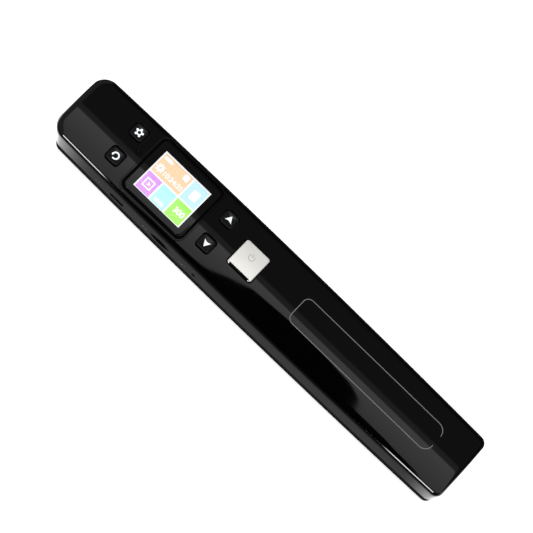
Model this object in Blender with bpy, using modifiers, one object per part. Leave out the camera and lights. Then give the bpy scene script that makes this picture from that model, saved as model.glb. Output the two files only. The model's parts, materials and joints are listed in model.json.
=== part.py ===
"""Handheld document scanner: a wand that is rolled over a page on four small tyres.

X runs along the wand with the screen at -X, the ports are on the -Y side, and +Z is up.
The origin is on the table, under the middle of the wand. Lengths are in metres.
"""

import math

import bmesh
import bpy
from mathutils import Matrix, Vector

MM = 0.001

# Housing, shared by both shells
LENGTH = 254.0 * MM
WIDTH = 41.0 * MM
SIDE_BOW = 1.5 * MM
SHELL_TOP = 24.6 * MM
CROWN = 2.0 * MM
EDGE_RADIUS = 3.0 * MM
SCREEN_END_RADIUS = 8.0 * MM
FAR_END_RADIUS = 4.0 * MM
LEAST_RADIUS = 0.5 * MM
WALL = 1.8 * MM
CLEARANCE = 0.3 * MM
OVERRUN = 1.0 * MM
MERGE = 0.01 * MM
SCREEN_END = -LENGTH / 2
FAR_END = LENGTH / 2
END_LEAN = 4.5 * MM
LEAN_REACH = 22.0 * MM
LEAN_TOP = SHELL_TOP - EDGE_RADIUS

# Bottom shell
BASE_LIFT = 0.7 * MM
FLOOR = 1.7 * MM
FOOT_CHAMFER = 0.9 * MM
PLINTH_INSET = 0.5 * MM
PLINTH_HEIGHT = 2.5 * MM
SEAM_HEIGHT = 6.4 * MM
SEAM_GAP = 0.4 * MM
TONGUE_INSET = 1.0 * MM
TONGUE_HEIGHT = 1.3 * MM
FLOOR_TOP = BASE_LIFT + FLOOR
TONGUE_TOP = SEAM_HEIGHT + TONGUE_HEIGHT

# Rollers and their bearings
TYRE_RADIUS = 5.0 * MM
TYRE_WIDTH = 8.0 * MM
TYRE_ROUND = 0.8 * MM
HUB_RADIUS = 3.2 * MM
HUB_COLLAR_RADIUS = 2.0 * MM
HUB_COLLAR = 1.0 * MM
AXLE_RADIUS = 1.0 * MM
AXLE_INSET = 9.0 * MM
TYRE_INSET = 23.0 * MM
AXLE_Y = WIDTH / 2 - AXLE_INSET
TYRE_X = FAR_END - TYRE_INSET
BEARING_WIDTH = 3.0 * MM
BEARING_DEPTH = 7.0 * MM
BEARING_RISE = 3.4 * MM
BUSH_RADIUS = 1.9 * MM
BUSH_FLANGE_RADIUS = 2.4 * MM
BUSH_FLANGE = 0.5 * MM
AXLE_END = 0.9 * MM
POCKET_MARGIN = 0.6 * MM

# Gear train to the encoder
GEAR_MODULE = 0.5 * MM
PINION_TEETH = 10
WHEEL_TEETH = 16
GEAR_TO_TYRE = 10.0 * MM
GEAR_X = TYRE_X - GEAR_TO_TYRE
GEAR_WIDTH = 2.6 * MM
PINION_EXTRA = 0.8 * MM
MESH_CLEARANCE = 0.1 * MM
GEAR_WELL = 0.8 * MM
ADDENDUM_SHARE = 0.84
DEDENDUM_SHARE = 1.2
TOOTH_TIP_SHARE = 0.13
TOOTH_ROOT_SHARE = 0.36
ENCODER_SHAFT_RADIUS = 0.8 * MM
DISC_RADIUS = 4.5 * MM
DISC_THICKNESS = 0.6 * MM
DISC_TO_GEAR = 3.8 * MM
DISC_X = GEAR_X - DISC_TO_GEAR
DISC_SLOTS = 16
DISC_SLOT_LENGTH = 1.4 * MM
DISC_SLOT_SHARE = 0.25
CHEEK_WIDTH = 1.4 * MM
CHEEK_REACH = 3.0 * MM
BRACKET_TO_DISC = 3.2 * MM
BRACKET_LENGTH = 11.6 * MM
BRACKET_LEFT = DISC_X - BRACKET_TO_DISC
BRACKET_RIGHT = BRACKET_LEFT + BRACKET_LENGTH
BRACKET_TOP = 17.0 * MM
BRACKET_WEB = 0.8 * MM
EYE_DEPTH = 4.0 * MM
EYE_REACH = 2.2 * MM
EYE_RISE = 3.0 * MM
EYE_WALL = 0.8 * MM

# Scan window and contact image sensor
GLASS_TO_END = 17.5 * MM
GLASS_LENGTH = LENGTH - 2 * GLASS_TO_END
GLASS_WIDTH = 9.0 * MM
GLASS_THICKNESS = 0.8 * MM
GLASS_PROUD = 0.1 * MM
GLASS_LEDGE = 1.3 * MM
GLASS_CORNER = 0.8 * MM
SENSOR_TO_END = 11.0 * MM
SENSOR_LENGTH = LENGTH - 2 * SENSOR_TO_END
SENSOR_WIDTH = 11.0 * MM
SENSOR_TOP = 9.4 * MM
SENSOR_CHANNEL_WIDTH = 7.6 * MM
SENSOR_CHANNEL_DEPTH = 4.6 * MM
SENSOR_END = 4.0 * MM
SENSOR_SLIT = 2.6 * MM
LENS_WIDTH = 1.8 * MM
LENS_INSET = 7.0 * MM
LENS_LENGTH = SENSOR_LENGTH - 2 * LENS_INSET
LENS_Y = 1.2 * MM
GUIDE_RADIUS = 1.3 * MM
GUIDE_Y = -2.0 * MM
GUIDE_Z = 4.7 * MM
SENSOR_BOARD_INSET = 2.0 * MM
SENSOR_BOARD_LENGTH = SENSOR_LENGTH - 2 * SENSOR_BOARD_INSET
SENSOR_BOARD_WIDTH = 9.6 * MM
SENSOR_BOARD_THICKNESS = 0.8 * MM

# Main board and what it carries
BOARD_TO_END = 14.0 * MM
BOARD_LENGTH = 137.0 * MM
BOARD_SIDE = 5.0 * MM
BOARD_LEFT = SCREEN_END + BOARD_TO_END
BOARD_RIGHT = BOARD_LEFT + BOARD_LENGTH
BOARD_WIDTH = WIDTH - 2 * BOARD_SIDE
BOARD_UNDER = 14.2 * MM
BOARD_THICKNESS = 1.2 * MM
BOARD_CORNER = 2.0 * MM
POST_TO_LEFT = 21.0 * MM
POST_TO_RIGHT = 10.0 * MM
POST_TO_EDGE = 0.6 * MM
BOARD_POST_X = (BOARD_LEFT + POST_TO_LEFT, BOARD_RIGHT - POST_TO_RIGHT)
BOARD_POST_Y = BOARD_WIDTH / 2 - POST_TO_EDGE
BOARD_POST_RADIUS = 1.5 * MM
BOARD_TOP = BOARD_UNDER + BOARD_THICKNESS
SWITCH_SIDE = 6.0 * MM
SWITCH_BODY = 3.4 * MM
SWITCH_STEM_RADIUS = 1.7 * MM
SWITCH_STEM = 0.9 * MM
BATTERY_TO_BOARD = 12.0 * MM
BATTERY_TO_BRACKET = 3.0 * MM
BATTERY_LEFT = BOARD_RIGHT + BATTERY_TO_BOARD
BATTERY_RIGHT = BRACKET_LEFT - BATTERY_TO_BRACKET
BATTERY_WIDTH = 28.0 * MM
BATTERY_THICKNESS = 8.0 * MM
BATTERY_ROUND = 2.0 * MM
LEAD_RADIUS = 0.7 * MM
LEAD_Y = 9.0 * MM
LEAD_SAG = 0.8 * MM
PLUG_LENGTH = 5.0 * MM
PLUG_WIDTH = 6.0 * MM
PLUG_HEIGHT = 2.4 * MM
RIBBON_WIDTH = 10.0 * MM
RIBBON_THICKNESS = 0.3 * MM
RIBBON_FOOT = 6.0 * MM
RIBBON_BEND = 2.0 * MM
RIBBON_STEPS = 5
CONNECTOR_DEPTH = 4.0 * MM
CONNECTOR_HEIGHT = 1.6 * MM

# Screen
SCREEN_TO_END = 62.3 * MM
SCREEN_X = SCREEN_END + SCREEN_TO_END
WINDOW_LENGTH = 39.0 * MM
WINDOW_WIDTH = 32.8 * MM
WINDOW_CORNER = 3.3 * MM
WINDOW_THICKNESS = 1.2 * MM
WINDOW_PROUD = 0.4 * MM
WINDOW_EDGE = 0.25 * MM
PLATFORM_RIM = 0.9 * MM
PLATFORM_PROUD = 0.1 * MM
PLATFORM_LEDGE = 1.2 * MM
PLATFORM_EDGE = 0.35 * MM
VIEW_LENGTH = 31.4 * MM
VIEW_WIDTH = 24.6 * MM
LCD_LENGTH = 36.0 * MM
LCD_WIDTH = 29.4 * MM
LCD_THICKNESS = 2.2 * MM
HOLDER_WALL = 1.0 * MM

# Keys
KEY_SIDE = 7.9 * MM
KEY_CORNER = 1.5 * MM
KEY_PROUD = 0.35 * MM
KEY_EDGE = 0.3 * MM
KEY_ROW_Y = 8.25 * MM
KEYS_BEFORE_SCREEN = 30.1 * MM
KEYS_AFTER_SCREEN = 29.3 * MM
KEY_LEFT_X = SCREEN_X - KEYS_BEFORE_SCREEN
KEY_RIGHT_X = SCREEN_X + KEYS_AFTER_SCREEN
SCAN_LENGTH = 15.4 * MM
SCAN_WIDTH = 15.5 * MM
SCAN_TO_SCREEN = 49.5 * MM
SCAN_X = SCREEN_X + SCAN_TO_SCREEN
SCAN_PROUD = 0.8 * MM
SCAN_CORNER = 1.3 * MM
SCAN_EDGE = 0.7 * MM
KEY_GAP = 0.35 * MM
KEY_TRAVEL = 0.4 * MM
FLANGE_WIDTH = 0.9 * MM
FLANGE_THICKNESS = 0.9 * MM
KEY_POST_RADIUS = 1.6 * MM

# Status light
LIGHT_TO_SCREEN = 24.1 * MM
LIGHT_X = SCREEN_X - LIGHT_TO_SCREEN
LIGHT_Y = 1.2 * MM
LIGHT_RADIUS = 1.0 * MM
LED_LENGTH = 2.0 * MM
LED_WIDTH = 1.3 * MM
LED_HEIGHT = 0.8 * MM

# Ports on the near side
PORT_SETBACK = 0.5 * MM
USB_TO_SCREEN = 16.0 * MM
USB_X = SCREEN_X - USB_TO_SCREEN
USB_LENGTH = 7.7 * MM
USB_HEIGHT = 3.0 * MM
USB_DEPTH = 8.5 * MM
USB_METAL = 0.35 * MM
USB_TONGUE = 0.9 * MM
CARD_TO_SCREEN = 12.6 * MM
CARD_X = SCREEN_X + CARD_TO_SCREEN
CARD_LENGTH = 14.2 * MM
CARD_DEPTH = 13.5 * MM
CARD_HEIGHT = 2.3 * MM
CARD_SLOT_LENGTH = 11.6 * MM
CARD_SLOT_HEIGHT = 1.1 * MM
THUMB_LENGTH = 13.4 * MM
THUMB_HEIGHT = 5.0 * MM
THUMB_DEPTH = 1.2 * MM
RESET_TO_SCREEN = 35.1 * MM
RESET_X = SCREEN_X + RESET_TO_SCREEN
RESET_HOLE_RADIUS = 1.1 * MM
RESET_PIN_RADIUS = 0.7 * MM
RESET_PIN_LENGTH = 3.2 * MM
RESET_RECESS = 0.7 * MM
RESET_BODY_LENGTH = 6.0 * MM
RESET_BODY_DEPTH = 3.4 * MM
RESET_BODY_HEIGHT = 3.0 * MM

# Screws that join the shells
SCREW_TO_END = 8.9 * MM
SCREW_INSET = 9.9 * MM
SCREW_X = FAR_END - SCREW_TO_END
SCREW_Y = WIDTH / 2 - SCREW_INSET
BOSS_RADIUS = 2.7 * MM
SCREW_POST_WALL = 0.9 * MM
SCREW_SHANK_RADIUS = 1.0 * MM
SCREW_HOLE_RADIUS = 1.3 * MM
SCREW_HEAD_RADIUS = 2.0 * MM
SCREW_WELL_RADIUS = 2.3 * MM
SCREW_HEAD = 1.3 * MM
SCREW_SEAT = 3.4 * MM
SCREW_LENGTH = 11.0 * MM
SCREW_CROSS_LENGTH = 2.2 * MM
SCREW_CROSS_WIDTH = 0.55 * MM
SCREW_CROSS_DEPTH = 0.7 * MM

# Facets
SIDE_STEPS = 8
CORNER_STEPS = 5
EDGE_STEPS = 4
RIM_STEPS = 2
CROWN_STRIPS = 12
ROUND_STEPS = 20
TYRE_STEPS = 24

parts = bpy.data.collections.new("handheld_document_scanner")
cutters = bpy.data.collections.new("cutters")
finishes = {}


def clear_scene():
    """Remove the start-up objects and show the two collections."""
    for item in list(bpy.data.objects):
        bpy.data.objects.remove(item, do_unlink=True)
    bpy.context.scene.collection.children.link(parts)
    bpy.context.scene.collection.children.link(cutters)


def finish(name, colour, roughness, metallic=0.0):
    """Name a Principled material by its colour, roughness and metallic value."""
    material = bpy.data.materials.new(name)
    material.use_nodes = True
    shader = material.node_tree.nodes["Principled BSDF"]
    shader.inputs["Base Color"].default_value = (*colour, 1.0)
    shader.inputs["Roughness"].default_value = roughness
    shader.inputs["Metallic"].default_value = metallic
    finishes[name] = material


def add(name, mesh, look=None, place=(0.0, 0.0, 0.0), parent=None):
    """Put a mesh in the model, or among the cutters where it has no look."""
    item = bpy.data.objects.new(name, mesh)
    if look is None:
        cutters.objects.link(item)
        item.hide_render = True
        item.display_type = "WIRE"
    else:
        parts.objects.link(item)
        mesh.materials.append(finishes[look])
    item.location = place
    if parent is not None:
        item.parent = parent
        item.location = Vector(place) - parent.location
    return item


def axis_empty(name, place):
    """Mark a joint's axis with an empty that carries the turning pieces."""
    empty = bpy.data.objects.new(name, None)
    parts.objects.link(empty)
    empty.location = place
    return empty


def to_mesh(name, bm):
    """Close a bmesh into a named mesh with its faces pointing out."""
    bmesh.ops.recalc_face_normals(bm, faces=bm.faces)
    mesh = bpy.data.meshes.new(name)
    bm.to_mesh(mesh)
    bm.free()
    return mesh


def shade(item, angle=math.radians(35)):
    """Smooth a round piece and keep its corners sharp."""
    item.data.shade_smooth()
    item.data.set_sharp_from_angle(angle=angle)
    return item


def round_edges(bm, edges, radius, segments):
    """Round the given edges of a bmesh."""
    bmesh.ops.bevel(bm, geom=edges, offset=radius, segments=segments, profile=0.5, affect="EDGES")


def block(name, size, place, look=None, corner=0.0, edge=0.0, parent=None):
    """Make a box about its own centre, with rounded upright corners and a rounded top rim."""
    bm = bmesh.new()
    bmesh.ops.create_cube(bm, size=1.0, matrix=Matrix.Diagonal((*size, 1.0)))
    if corner:
        upright = [e for e in bm.edges if abs(e.verts[0].co.z - e.verts[1].co.z) > MERGE]
        round_edges(bm, upright, corner, CORNER_STEPS)
    if edge:
        rim = [e for e in bm.edges if all(v.co.z > size[2] / 2 - MERGE for v in e.verts)]
        round_edges(bm, rim, edge, RIM_STEPS)
    return add(name, to_mesh(name, bm), look, place, parent)


def rod(name, radius, length, place, axis="Z", look=None, parent=None):
    """Make a cylinder about its own centre, along one axis."""
    turn = Matrix() if axis == "Z" else Matrix.Rotation(math.pi / 2, 4, "Y" if axis == "X" else "X")
    bm = bmesh.new()
    bmesh.ops.create_cone(
        bm, cap_ends=True, segments=ROUND_STEPS, radius1=radius, radius2=radius, depth=length, matrix=turn
    )
    return add(name, to_mesh(name, bm), look, place, parent)


def turned(name, profile, place, look, parent=None, ring=True, steps=ROUND_STEPS):
    """Turn a profile of (radius, distance along X) about the X axis; a ring's profile closes on itself."""
    points = [(radius, 0.0, along) for radius, along in profile]
    count = len(points) if ring else len(points) - 1
    mesh = bpy.data.meshes.new(name)
    mesh.from_pydata(points, [(i, (i + 1) % len(points)) for i in range(count)], [])
    item = add(name, mesh, look, place, parent)
    item.rotation_euler = (0.0, math.pi / 2, 0.0)
    screw = item.modifiers.new("turn", "SCREW")
    screw.steps = screw.render_steps = steps
    screw.use_merge_vertices = True
    screw.merge_threshold = MERGE
    return item


def prism(name, outline_points, width, place, look=None, parent=None):
    """Extrude an outline in the YZ plane along X, about its own middle."""
    bm = bmesh.new()
    face = bm.faces.new([bm.verts.new((-width / 2, y, z)) for y, z in outline_points])
    grown = bmesh.ops.extrude_face_region(bm, geom=[face])
    moved = [v for v in grown["geom"] if isinstance(v, bmesh.types.BMVert)]
    bmesh.ops.translate(bm, verts=moved, vec=(width, 0.0, 0.0))
    return add(name, to_mesh(name, bm), look, place, parent)


def combine(item, operation, others):
    """Cut others from a piece, or join them to it."""
    for other in others:
        modifier = item.modifiers.new(other.name, "BOOLEAN")
        modifier.operation = operation
        modifier.object = other


def half_width_at(x, margin):
    """Give the plan's half width, which a shallow parabola bows out to mid length."""
    return WIDTH / 2 - margin - SIDE_BOW * (2 * x / LENGTH) ** 2


def roof_drop(y):
    """Give how far the crowned roof lies below its centre line."""
    return CROWN * (2 * y / WIDTH) ** 2


def lean_at(x, z):
    """Give how far the screen end leans inward, which grows from none at the roof's edge down to the table."""
    share = max(0.0, (SCREEN_END + LEAN_REACH - x) / LEAN_REACH)
    return END_LEAN * share**2 * max(0.0, 1 - z / LEAN_TOP)


def corner_arc(end, side, radius, margin):
    """Give one rounded corner of the plan, as its points and the X where it meets the long side."""
    inner = max(radius - margin, LEAST_RADIUS)
    x = end * (LENGTH / 2 - margin - inner)
    y = side * (half_width_at(x, margin) - inner)
    start = {(1, -1): -0.5, (1, 1): 0.0, (-1, 1): 0.5, (-1, -1): 1.0}[end, side] * math.pi
    angles = [start + math.pi / 2 * i / CORNER_STEPS for i in range(CORNER_STEPS + 1)]
    return [(x + inner * math.cos(a), y + inner * math.sin(a)) for a in angles]


def plan(margin):
    """Give the housing's outline moved inward by a margin, anticlockwise."""
    points = corner_arc(1, -1, FAR_END_RADIUS, margin)
    points += corner_arc(1, 1, FAR_END_RADIUS, margin)
    points += long_side(points[-1][0], 1, margin)
    points += corner_arc(-1, 1, SCREEN_END_RADIUS, margin)
    points += corner_arc(-1, -1, SCREEN_END_RADIUS, margin)
    return points + long_side(points[-1][0], -1, margin)


def long_side(start_x, side, margin):
    """Give the points between two corners along one bowed side."""
    other_radius = SCREEN_END_RADIUS if side > 0 else FAR_END_RADIUS
    end_x = -side * (LENGTH / 2 - margin - max(other_radius - margin, LEAST_RADIUS))
    xs = [start_x + (end_x - start_x) * i / SIDE_STEPS for i in range(1, SIDE_STEPS)]
    return [(x, side * half_width_at(x, margin)) for x in xs]


def loft(name, sections, look=None, crowned=False):
    """Carry the plan up through sections of (margin, height) and close both ends."""
    bm = bmesh.new()
    rings = [[bm.verts.new((x + lean_at(x, z), y, z)) for x, y in plan(margin)] for margin, z in sections]
    count = len(rings[0])
    for low, high in zip(rings, rings[1:]):
        for i in range(count):
            j = (i + 1) % count
            bm.faces.new((low[i], low[j], high[j], high[i]))
    bm.faces.new(rings[0][::-1])
    bm.faces.new(rings[-1])
    if crowned:
        crown(bm, sections[-1][1])
    bmesh.ops.triangulate(bm, faces=bm.faces)
    return add(name, to_mesh(name, bm), look)


def crown(bm, top):
    """Slice the flat top into lengthwise strips and bend the roof down towards both sides."""
    for i in range(1, CROWN_STRIPS):
        cap = [f for f in bm.faces if all(v.co.z > top - MERGE for v in f.verts)]
        geometry = list({g for f in cap for g in (f, *f.edges, *f.verts)})
        y = WIDTH * (i / CROWN_STRIPS - 1 / 2)
        bmesh.ops.bisect_plane(bm, geom=geometry, dist=MERGE, plane_co=(0, y, 0), plane_no=(0, 1, 0))
    for vertex in bm.verts:
        if vertex.co.z > SHELL_TOP / 2:
            vertex.co.z -= roof_drop(vertex.co.y)


def rounded_roof(radius, margin):
    """Give the sections of a quarter round from the upright wall to the roof."""
    angles = [math.pi / 2 * i / EDGE_STEPS for i in range(EDGE_STEPS + 1)]
    level = SHELL_TOP - EDGE_RADIUS
    return [(margin + radius * (1 - math.cos(a)), level + radius * math.sin(a)) for a in angles]


def toothed_outline(root, tip, teeth, root_share, tip_share, phase_share=0.0):
    """Give a wheel's outline with straight-flanked teeth, the first on +Z unless a phase turns it."""
    step = 2 * math.pi / teeth
    points = []
    tooth = ((root, -root_share), (tip, -tip_share), (tip, tip_share), (root, root_share))
    for i in range(teeth):
        for radius, share in tooth:
            angle = step * (i + share + phase_share)
            points.append((-radius * math.sin(angle), radius * math.cos(angle)))
    return points


def gear_outline(teeth, phase_share=0.0):
    """Give a spur gear's outline from its tooth count."""
    pitch = GEAR_MODULE * teeth / 2
    root = pitch - GEAR_MODULE * DEDENDUM_SHARE
    tip = pitch + GEAR_MODULE * ADDENDUM_SHARE
    return toothed_outline(root, tip, teeth, TOOTH_ROOT_SHARE, TOOTH_TIP_SHARE, phase_share)


def set_finishes():
    """Set each material's colour and gloss."""
    finish("gloss_black", (0.012, 0.012, 0.013), 0.08)
    finish("base_black", (0.02, 0.02, 0.021), 0.3)
    finish("window_black", (0.01, 0.01, 0.012), 0.04)
    finish("key_black", (0.014, 0.014, 0.015), 0.18)
    finish("silver", (0.78, 0.77, 0.74), 0.28, 0.9)
    finish("clear", (0.85, 0.9, 0.9), 0.03)
    finish("rubber", (0.05, 0.05, 0.052), 0.8)
    finish("nylon", (0.75, 0.73, 0.66), 0.5)
    finish("steel", (0.62, 0.62, 0.63), 0.25, 1.0)
    finish("brass", (0.7, 0.52, 0.25), 0.35, 1.0)
    finish("board_green", (0.03, 0.2, 0.08), 0.45)
    finish("inner_black", (0.03, 0.03, 0.032), 0.6)
    finish("cell_wrap", (0.55, 0.57, 0.6), 0.35)
    finish("ribbon_white", (0.8, 0.8, 0.78), 0.4)


ROLLERS = (("front", -1), ("rear", 1))
ENDS = (("left", -1), ("right", 1))
KEYS = (
    ("settings", KEY_LEFT_X, KEY_ROW_Y, KEY_SIDE, KEY_SIDE),
    ("back", KEY_LEFT_X, -KEY_ROW_Y, KEY_SIDE, KEY_SIDE),
    ("up", KEY_RIGHT_X, KEY_ROW_Y, KEY_SIDE, KEY_SIDE),
    ("down", KEY_RIGHT_X, -KEY_ROW_Y, KEY_SIDE, KEY_SIDE),
    ("scan", SCAN_X, 0.0, SCAN_LENGTH, SCAN_WIDTH),
)
SIGNS = [(end, side) for end in (-1, 1) for side in (-1, 1)]
CORNERS = [(end * SCREW_X, side * SCREW_Y) for end, side in SIGNS]
AXLE_Z = TYRE_RADIUS
BEARING_X = TYRE_X + TYRE_WIDTH / 2 + HUB_COLLAR + 2 * CLEARANCE + BUSH_FLANGE + BEARING_WIDTH / 2
ENCODER_Z = AXLE_Z + GEAR_MODULE * (PINION_TEETH + WHEEL_TEETH) / 2 + MESH_CLEARANCE
WINDOW_TOP = SHELL_TOP + WINDOW_PROUD
WINDOW_SEAT = WINDOW_TOP - WINDOW_THICKNESS - CLEARANCE
PORT_Z = BOARD_UNDER - CLEARANCE - USB_HEIGHT / 2
SENSOR_BOARD_TOP = SENSOR_TOP + CLEARANCE + SENSOR_BOARD_THICKNESS
TIP_CLEARANCE = CLEARANCE / 3


def span(name, low, high, look=None, **style):
    """Make a block between two opposite corners."""
    size = [b - a for a, b in zip(low, high)]
    middle = [(a + b) / 2 for a, b in zip(low, high)]
    return block(name, size, middle, look, **style)


def pillar(name, radius, x, y, low, high, look=None):
    """Make an upright round post or hole between two heights."""
    return rod(name, radius, high - low, (x, y, (low + high) / 2), "Z", look)


def build_top_shell():
    """Mould the crowned roof and its walls, with the key holes, the ports and the screen's platform."""
    outside = [(0.0, SEAM_HEIGHT + SEAM_GAP), *rounded_roof(EDGE_RADIUS, 0.0)]
    shell = loft("top_shell", outside, "gloss_black", crowned=True)
    lip = TONGUE_INSET - CLEARANCE
    groove = TONGUE_TOP + CLEARANCE
    hollow = [(lip, SEAM_HEIGHT - OVERRUN), (lip, groove), (WALL, groove)]
    hollow += rounded_roof(EDGE_RADIUS - WALL, WALL)
    combine(shell, "DIFFERENCE", [loft("top_hollow", hollow, crowned=True)])
    boss_top = SHELL_TOP - roof_drop(SCREW_Y) - WALL / 2
    bosses = [
        pillar(f"boss_{i}", BOSS_RADIUS, x, y, groove, boss_top) for i, (x, y) in enumerate(CORNERS)
    ]
    rim = 2 * (CLEARANCE + PLATFORM_RIM)
    low = WINDOW_SEAT - PLATFORM_LEDGE
    high = SHELL_TOP + PLATFORM_PROUD
    size = (WINDOW_LENGTH + rim, WINDOW_WIDTH + rim, high - low)
    middle = (SCREEN_X, 0.0, (high + low) / 2)
    platform = block("platform", size, middle, corner=WINDOW_CORNER + rim / 2, edge=PLATFORM_EDGE)
    combine(shell, "UNION", [*bosses, platform])
    combine(shell, "DIFFERENCE", screen_cutters() + key_cutters() + port_cutters() + pilot_cutters())
    shade(shell)


def screen_cutters():
    """Cut the window's seat, the view through it and the room for the screen below."""
    gap = 2 * CLEARANCE
    seat_depth = WINDOW_THICKNESS + OVERRUN
    room_depth = LCD_THICKNESS + OVERRUN
    ledge_low = WINDOW_SEAT - PLATFORM_LEDGE
    seat = (WINDOW_LENGTH + gap, WINDOW_WIDTH + gap, seat_depth)
    seat_middle = (SCREEN_X, 0.0, WINDOW_SEAT + seat_depth / 2)
    view = (VIEW_LENGTH, VIEW_WIDTH, 2 * seat_depth + PLATFORM_LEDGE)
    room = (LCD_LENGTH + gap, LCD_WIDTH + gap, room_depth)
    return [
        block("window_seat", seat, seat_middle, corner=WINDOW_CORNER + CLEARANCE),
        block("view_opening", view, (SCREEN_X, 0.0, WINDOW_SEAT)),
        block("screen_room", room, (SCREEN_X, 0.0, ledge_low - room_depth / 2)),
    ]


def key_cutters():
    """Cut a hole for each key and one for the light."""
    height = WALL + CROWN + 2 * OVERRUN
    z = SHELL_TOP + OVERRUN - height / 2
    holes = [rod("light_hole", LIGHT_RADIUS + CLEARANCE, height, (LIGHT_X, LIGHT_Y, z))]
    for name, x, y, length, width in KEYS:
        size = (length + 2 * KEY_GAP, width + 2 * KEY_GAP, height)
        corner = SCAN_CORNER if name == "scan" else KEY_CORNER
        holes.append(block(f"{name}_hole", size, (x, y, z), corner=corner + KEY_GAP))
    return holes


def port_cutters():
    """Cut the mouths of the ports, the thumb recess at the card slot and the reset hole."""
    through = 2 * (WALL + OVERRUN)
    usb, card, reset = [(x, -half_width_at(x, 0.0), PORT_Z) for x in (USB_X, CARD_X, RESET_X)]
    thumb = bmesh.new()
    size = Matrix.Diagonal((THUMB_LENGTH / 2, THUMB_DEPTH, THUMB_HEIGHT / 2, 1.0))
    rings = ROUND_STEPS // 2
    bmesh.ops.create_uvsphere(thumb, u_segments=ROUND_STEPS, v_segments=rings, radius=1.0, matrix=size)
    gap = 2 * CLEARANCE
    return [
        block("usb_mouth", (USB_LENGTH + gap, through, USB_HEIGHT + gap), usb),
        add("thumb_recess", to_mesh("thumb_recess", thumb), None, card),
        block("card_slot", (CARD_SLOT_LENGTH, through, CARD_SLOT_HEIGHT), card),
        rod("reset_hole", RESET_HOLE_RADIUS, through, reset, "Y"),
    ]


def pilot_cutters():
    """Bore the bosses for the screws."""
    tip = SCREW_SEAT + SCREW_LENGTH
    return [
        pillar(f"pilot_{i}", SCREW_HOLE_RADIUS, x, y, SEAM_HEIGHT, tip) for i, (x, y) in enumerate(CORNERS)
    ]


def build_bottom_shell():
    """Mould the stepped base with its bearings, posts, tyre pockets and glass seat."""
    foot = PLINTH_INSET
    step = BASE_LIFT + PLINTH_HEIGHT
    shell = loft("bottom_shell", [
        (foot + FOOT_CHAMFER, BASE_LIFT), (foot, BASE_LIFT + FOOT_CHAMFER), (foot, step), (0.0, step),
        (0.0, SEAM_HEIGHT), (TONGUE_INSET, SEAM_HEIGHT), (TONGUE_INSET, TONGUE_TOP),
    ], "base_black")
    hollow = loft("bottom_hollow", [(WALL, FLOOR_TOP), (WALL, TONGUE_TOP + OVERRUN)])
    combine(shell, "DIFFERENCE", [hollow])
    root = FLOOR_TOP - FLOOR / 2
    top = AXLE_Z + BEARING_RISE
    posts = []
    size = (BEARING_WIDTH, BEARING_DEPTH, top - root)
    for i, (end, side) in enumerate(SIGNS):
        middle = (end * BEARING_X, side * AXLE_Y, (top + root) / 2)
        posts.append(block(f"bearing_{i}", size, middle, corner=OVERRUN))
        x, y = BOARD_POST_X[end > 0], side * BOARD_POST_Y
        posts.append(pillar(f"board_post_{i}", BOARD_POST_RADIUS, x, y, root, BOARD_UNDER - CLEARANCE))
    for i, (x, y) in enumerate(CORNERS):
        posts.append(pillar(f"screw_post_{i}", SCREW_WELL_RADIUS + SCREW_POST_WALL, x, y, root, TONGUE_TOP))
    combine(shell, "UNION", posts)
    combine(shell, "DIFFERENCE", roller_cutters() + glass_cutters() + screw_cutters())
    shade(shell)


def roller_cutters():
    """Cut the tyre pockets, the bush bores and the room under the pinion."""
    low = BASE_LIFT - OVERRUN
    chord = math.sqrt(TYRE_RADIUS**2 - (AXLE_Z - FLOOR_TOP) ** 2) + POCKET_MARGIN
    width = TYRE_WIDTH / 2 + POCKET_MARGIN
    found = []
    for roller, side in ROLLERS:
        for end, way in ENDS:
            x, y = way * TYRE_X, side * AXLE_Y
            corners = (x - width, y - chord, low), (x + width, y + chord, TYRE_RADIUS)
            found.append(span(f"{roller}_{end}_pocket", *corners))
            bore = (way * BEARING_X, y, AXLE_Z)
            length = BEARING_WIDTH + 2 * OVERRUN
            found.append(rod(f"{roller}_{end}_bore", BUSH_RADIUS + CLEARANCE, length, bore, "X"))
    well = GEAR_MODULE * PINION_TEETH / 2 + GEAR_MODULE + CLEARANCE
    half = (GEAR_WIDTH + PINION_EXTRA) / 2 + POCKET_MARGIN
    found.append(span("gear_well", (GEAR_X - half, AXLE_Y - well, FLOOR_TOP - GEAR_WELL),
                      (GEAR_X + half, AXLE_Y + well, AXLE_Z)))
    return found


def glass_cutters():
    """Cut the glass's seat from below and the slot that the sensor looks through."""
    seat = BASE_LIFT - GLASS_PROUD + GLASS_THICKNESS + CLEARANCE
    x, y = GLASS_LENGTH / 2, GLASS_WIDTH / 2
    low = BASE_LIFT - OVERRUN
    outer = (-x - CLEARANCE, -y - CLEARANCE, low), (x + CLEARANCE, y + CLEARANCE, seat)
    x, y = x - GLASS_LEDGE, y - GLASS_LEDGE
    return [
        span("glass_seat", *outer, corner=GLASS_CORNER + CLEARANCE),
        span("scan_slot", (-x, -y, low), (x, y, FLOOR_TOP + OVERRUN)),
    ]


def screw_cutters():
    """Bore each screw post and widen it below for the head."""
    found = []
    low = BASE_LIFT - OVERRUN
    for i, (x, y) in enumerate(CORNERS):
        found.append(pillar(f"screw_hole_{i}", SCREW_HOLE_RADIUS, x, y, low, TONGUE_TOP + OVERRUN))
        found.append(pillar(f"screw_well_{i}", SCREW_WELL_RADIUS, x, y, low, SCREW_SEAT))
    return found


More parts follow.
